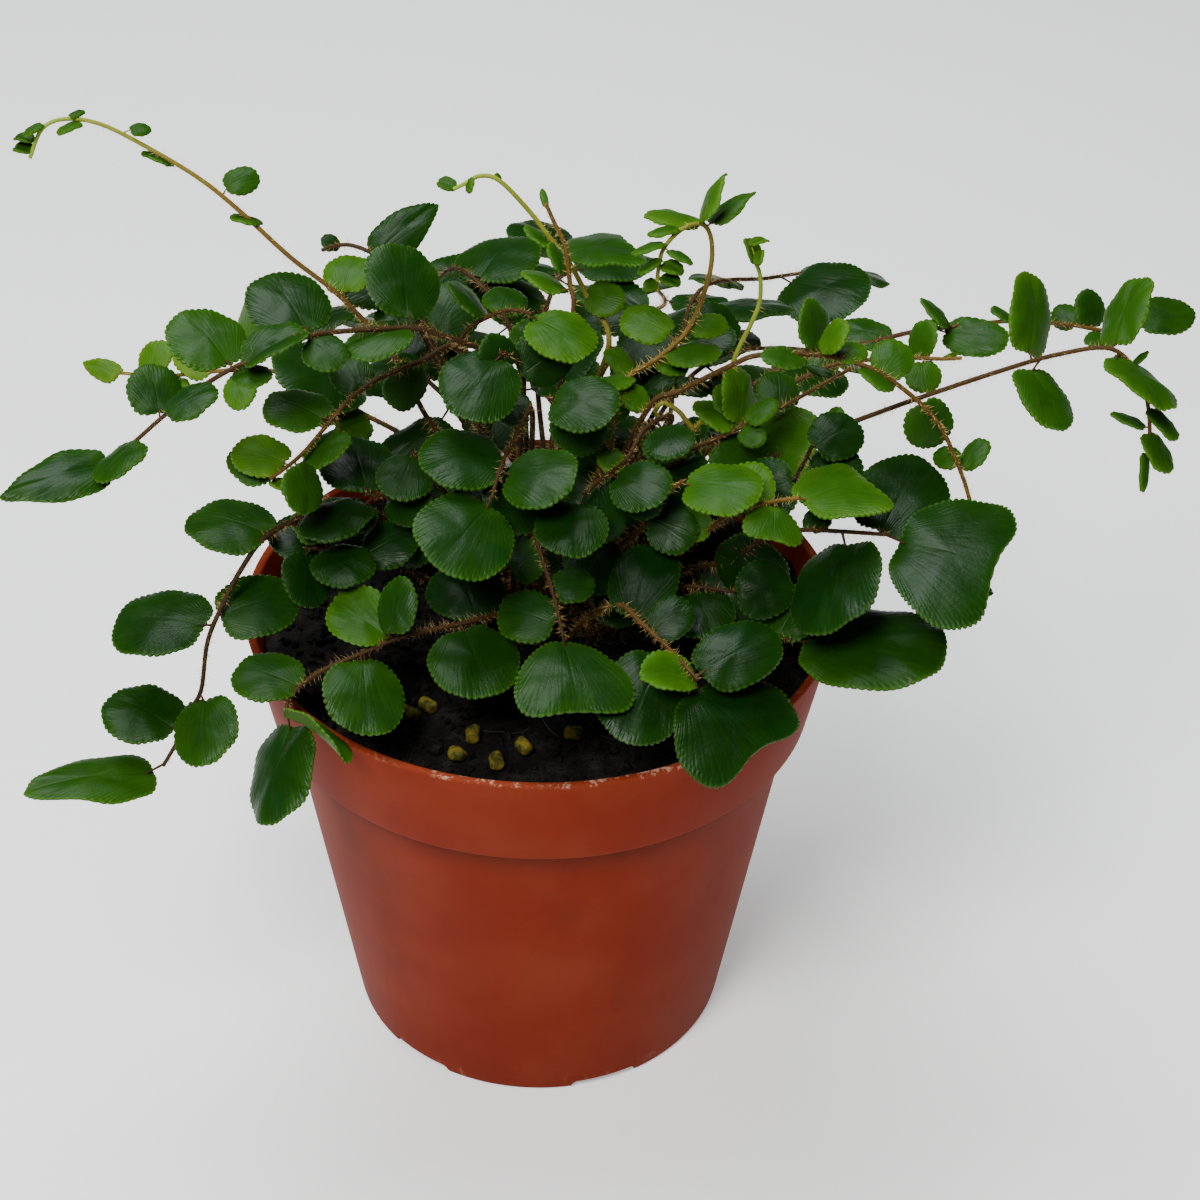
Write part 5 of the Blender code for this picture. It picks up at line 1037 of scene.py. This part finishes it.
def stemSurface():
    graph = Graph("wiryStem")
    tone = graph.own("tone")
    patch = graph.cloud(500, 4)
    grain = graph.cloud(1500, 4)
    shade = graph.ramp((tone + (patch - 0.5) * 0.25).clipped(), stemLook["tones"])
    relief = graph.bump(grain, 0.4, 0.15 * mm)
    return graph.finish(colour=shade, roughness=0.5 + patch * 0.25, normal=relief, gloss=0.14)


def hairSurface():
    graph = Graph("stemScale")
    patch = graph.cloud(600, 3)
    shade = graph.mix(patch.step(0.3, 0.7), stemLook["hairDeep"], stemLook["hair"])
    shade = graph.mix(graph.own("tone").step(0.15, 0.6), shade, stemLook["hairYoung"])
    relief = graph.bump(patch, 0.2, 0.05 * mm)
    return graph.finish(colour=shade, roughness=0.7, normal=relief, gloss=0.1)


layers = ("tone", "rim", "under", "along", "across", "reach")


def withLayers():
    bm = bmesh.new()
    return bm, {name: bm.verts.layers.float.new(name) for name in layers}


def vertsIn(geom):
    return [item for item in geom if isinstance(item, bmesh.types.BMVert)]


def leaflet(pose, tone, rng):
    # a fan of faces grown ring by ring, toothed at its rim, laid on the leaflet's form, then given thickness
    teeth = max(10, round(math.pi * (pose.length + pose.breadth) / 2 / leafLook["toothPeriod"]))
    bm, own = withLayers()
    rings = leafLook["rings"]
    bmesh.ops.create_circle(bm, cap_ends=True, cap_tris=True, segments=teeth, radius=rings[0])
    for index, (inner, outer) in enumerate(zip(rings, rings[1:])):
        rim = [edge for edge in bm.edges if edge.is_boundary]
        verts = vertsIn(bmesh.ops.extrude_edge_only(bm, edges=rim)["geom"])
        bmesh.ops.scale(bm, vec=Vector.Fill(3, outer / inner), verts=verts)
        if index in leafLook["splits"]:
            rim = [edge for edge in bm.edges if edge.is_boundary]
            for vert in vertsIn(bmesh.ops.subdivide_edges(bm, edges=rim, cuts=1)["geom_split"]):
                vert.co *= outer / vert.co.length
    depth = min(leafLook["deepestTooth"], leafLook["toothDepth"] / (0.5 * pose.length))
    furrow = leafLook["furrow"] * min(1.0, pose.length / leafLook["grownLength"])
    phases = [rng.uniform(0, math.tau) for _ in range(5)]
    for vert in bm.verts:
        radius = vert.co.length
        angle = math.atan2(vert.co.x, vert.co.y)
        lobe = abs(math.sin(angle * teeth / 2))
        uneven = 0.75 + 0.45 * math.sin(4 * angle + phases[3]) * math.sin(9 * angle + phases[4])
        tooth = 1 + depth * uneven * radius**10 * (2 * lobe**0.7 - 1.3)
        wobble = 1
        for (times, share), phase in zip(leafLook["wobble"], phases):
            wobble += share * math.sin(times * angle + phase) * (radius if times > 2 else 1)
        u, v = onBlade(pose.outline, angle, radius * tooth * wobble)
        heart = ((math.pi - abs(angle)) / leafLook["heartSpread"]) ** 2
        u += leafLook["heart"] * math.exp(-heart) * radius
        bow = bladeHeight(pose, u, v, angle, radius, growth["crease"])
        bow += leafLook["crimp"] * math.sin(7 * angle + phases[2]) * radius**3
        pucker = math.sin(3 * u * math.pi + phases[3]) * math.sin(5 * v * math.pi + phases[4])
        bow += leafLook["pucker"] * pucker
        bow -= leafLook["groove"] * math.exp(-((v / leafLook["grooveSpread"]) ** 2)) * (1 - u)
        furrowed = furrow * uneven * (lobe - 0.7) * max(0.0, (radius - 0.7) / 0.3) ** 1.5
        curled = leafLook["curl"] * radius**16
        lift = bow * pose.length + leafLook["thickness"] / 2 + furrowed - curled
        vert.co = inSpace(pose, u, v, lift)
        vert[own["along"]] = u
        vert[own["across"]] = v * pose.breadth / pose.length
        vert[own["reach"]] = radius
        vert[own["rim"]] = radius**14 * (0.55 + 0.45 * lobe)
        vert[own["tone"]] = tone
    bm.normal_update()
    if sum(face.normal.dot(pose.face) for face in bm.faces) < 0:
        bmesh.ops.reverse_faces(bm, faces=bm.faces)
    lower = vertsIn(bmesh.ops.extrude_face_region(bm, geom=bm.faces[:])["geom"])
    for vert in lower:
        vert[own["under"]] = 1.0
    bmesh.ops.translate(bm, vec=-pose.face * leafLook["thickness"], verts=lower)
    bmesh.ops.recalc_face_normals(bm, faces=bm.faces)
    return bm


def addTo(target, bm, slot):
    for face in bm.faces:
        face.material_index = slot
        face.smooth = True
    mesh = bpy.data.meshes.new("part")
    bm.to_mesh(mesh)
    bm.free()
    target.from_mesh(mesh)
    bpy.data.meshes.remove(mesh)


def stemTone(tones, share):
    # how young the stem is, a share of the way from its foot to its tip
    return tones[1] + (tones[2] - tones[1]) * share**1.5


def stalk(pose, route, tones):
    # a short stalk from the stem to a little way under the blade
    nearest = min(range(len(route)), key=lambda index: (route[index] - pose.joint).length)
    end = leafLook["stalkEnd"]
    lift = bladeHeight(pose, end, 0.0, math.pi, 0.78, growth["crease"]) * pose.length
    end = inSpace(pose, end, 0.0, lift - leafLook["thickness"] * 0.3)
    share = min(1.0, 0.55 + pose.length / (40 * mm))
    bm, own = withLayers()
    addCone(bm, route[nearest], end, [radius * share for radius in leafLook["stalkRadius"]], 6, True)
    for vert in bm.verts:
        vert[own["tone"]] = stemTone(tones, nearest / (len(route) - 1))
    return bm


def stem(route, tones):
    foot, tip = stemLook["radius"]
    last = len(route) - 1
    bm, own = withLayers()
    addRods(bm, [[(place, foot + (tip - foot) * index / last) for index, place in enumerate(route)]], 1, 2)
    tree = kdtree.KDTree(len(route))
    for index, place in enumerate(route):
        tree.insert(place, index)
    tree.balance()
    for vert in bm.verts:
        vert[own["tone"]] = stemTone(tones, tree.find(vert.co)[1] / last)
    return bm


def hairs(route, tones, rng):
    # papery scales and bristles, dense at the foot of a stem and thin at its tip
    bm, own = withLayers()
    close, wide = stemLook["hairGap"]
    shortest, longest = stemLook["hairLength"]
    total = sum((end - start).length for start, end in zip(route, route[1:]))
    done = 0.0
    due = stemLook["bareFoot"]
    for start, end in zip(route, route[1:]):
        span = (end - start).length
        onward = (end - start).normalized()
        while due < done + span:
            share = due / total
            tone = stemTone(tones, share)
            side = onward.orthogonal().normalized()
            side.rotate(Matrix.Rotation(rng.uniform(0, math.tau), 3, onward))
            run = side * rng.uniform(*stemLook["hairOut"]) + onward * rng.uniform(*stemLook["hairForward"])
            length = shortest + (longest - shortest) * rng.random() ** stemLook["hairBias"]
            run = run.normalized() * length * (1.1 - 0.5 * share)
            spot = start.lerp(end, (due - done) / span) + side * rng.uniform(*stemLook["hairSeat"])
            hair = addCone(bm, spot, spot + run, (stemLook["hairRadius"], 0), 3, False)
            for vert in hair["verts"]:
                vert[own["tone"]] = tone
            gap = close + (wide - close) * share + rng.uniform(0, stemLook["hairScatter"])
            due += gap * (1 + stemLook["thinning"] * max(0.0, tone - stemLook["smoothTone"]))
        done += span
    return bm


def nodeTree(name):
    bm = bmesh.new()
    bm.from_mesh(frame["nodes"][name].data)
    tree = BVHTree.FromBMesh(bm)
    bm.free()
    return tree


def dress(name, tones, route, poses, tree, surfaces):
    rng = random.Random(name)
    bm, _ = withLayers()
    missing = 0
    for pose, tone in poses:
        choice = fitted(pose, tree)
        if choice is None:
            missing += 1
            continue
        own = tones[0] if tone is None else tone
        own = min(1.0, max(0.0, own + rng.uniform(-1, 1) * leafLook["toneSpread"]))
        addTo(bm, leaflet(choice, own, rng), 0)
        addTo(bm, stalk(choice, route, tones), 1)
    addTo(bm, stem(route, tones), 1)
    addTo(bm, hairs(route, tones, rng), 2)
    piece = newPiece(f"{name}_grown", bm, surfaces, leafLook["sharpFrom"])
    standFor(piece, name)
    if missing:
        print(name, "leaflets that the solids leave out:", missing)


def rearFronds(surfaces):
    rng = random.Random(rear["seed"])
    for index in range(rear["count"]):
        name = f"frond_rear_{index + 1}"
        tree = nodeTree(name)
        heading = rear["first"] + rear["sweep"] * (index + 0.5) / rear["count"]
        for _ in range(rear["tries"]):
            turn = heading + rng.uniform(-rear["turn"], rear["turn"])
            reach = rng.uniform(*rear["reach"])
            peak = rng.uniform(*rear["peak"])
            out = Vector((math.cos(turn), math.sin(turn), 0))
            start = rear["middle"] + out * rear["ring"] * (1 + index % 3 / 3)
            droop = rng.uniform(*rear["droop"])
            picks = []
            for part, rise in rear["rise"]:
                sway = out.cross(Vector((0, 0, 1))) * rng.uniform(-rear["sway"], rear["sway"])
                height = soil["level"] + (peak - soil["level"]) * rise
                if part > rear["hangFrom"]:
                    height = peak - droop * (part - rear["hangFrom"]) * rear["hang"]
                picks.append(Vector((start.x, start.y, height)) + out * reach * part + sway)
            route = routeThrough((start.x, start.y), picks)
            if onNode(route, tree):
                break
        fine = routeThrough((start.x, start.y), picks, growth["finer"])
        poses = [(pose, None) for pose in rearPoses(route, rng)]
        dress(name, rear["tones"], fine, poses, tree, surfaces)


def rearPoses(route, rng):
    places = dense(route)
    span = len(places) - 2
    poses = []
    for number in range(rear["leaflets"] + 1):
        at = round(span * (rear["bare"] + (1 - rear["bare"]) * number / rear["leaflets"]))
        place = places[at]
        onward = (places[min(span, at + 3)] - places[max(0, at - 3)]).normalized()
        along = onward
        if number < rear["leaflets"]:
            side = onward.cross(Vector((0, 0, 1))).normalized() * (1 if number % 2 else -1)
            along = side + onward * rng.uniform(*rear["leafForward"])
        along = (along + Vector((0, 0, rng.uniform(*rear["leafRise"])))).normalized()
        face = Vector((rng.uniform(*rear["leafTilt"]), rng.uniform(*rear["leafTilt"]), 1))
        face = (face - along * face.dot(along)).normalized()
        outline = outlines[rng.choice(rear["forms"])]
        length = rng.uniform(*rear["leafLength"])
        base = place + along * rear["stalk"]
        poses.append(Pose(place, base, along, along.cross(face), face, length, length * outline.breadth,
                          outline, rear["rimPoints"]))
    return poses


def buildFronds():
    surfaces = [leafSurface(), stemSurface(), hairSurface()]
    for frond in fronds:
        tree = nodeTree(frond.name)
        route, fine = routeFor(frond, tree)
        taken = []
        leaves = [Leaf(*row) for row in frond.leaves]
        poses = [(poseFromPicture(leaf, route, taken), leaf.tone) for leaf in leaves]
        dress(frond.name, frond.tones, fine, poses, tree, surfaces)
    print("fronds made")
    rearFronds(surfaces)
    print("rear fronds made")


buildStudio()
buildPot()
buildSoil()
buildPellets()
buildFronds()
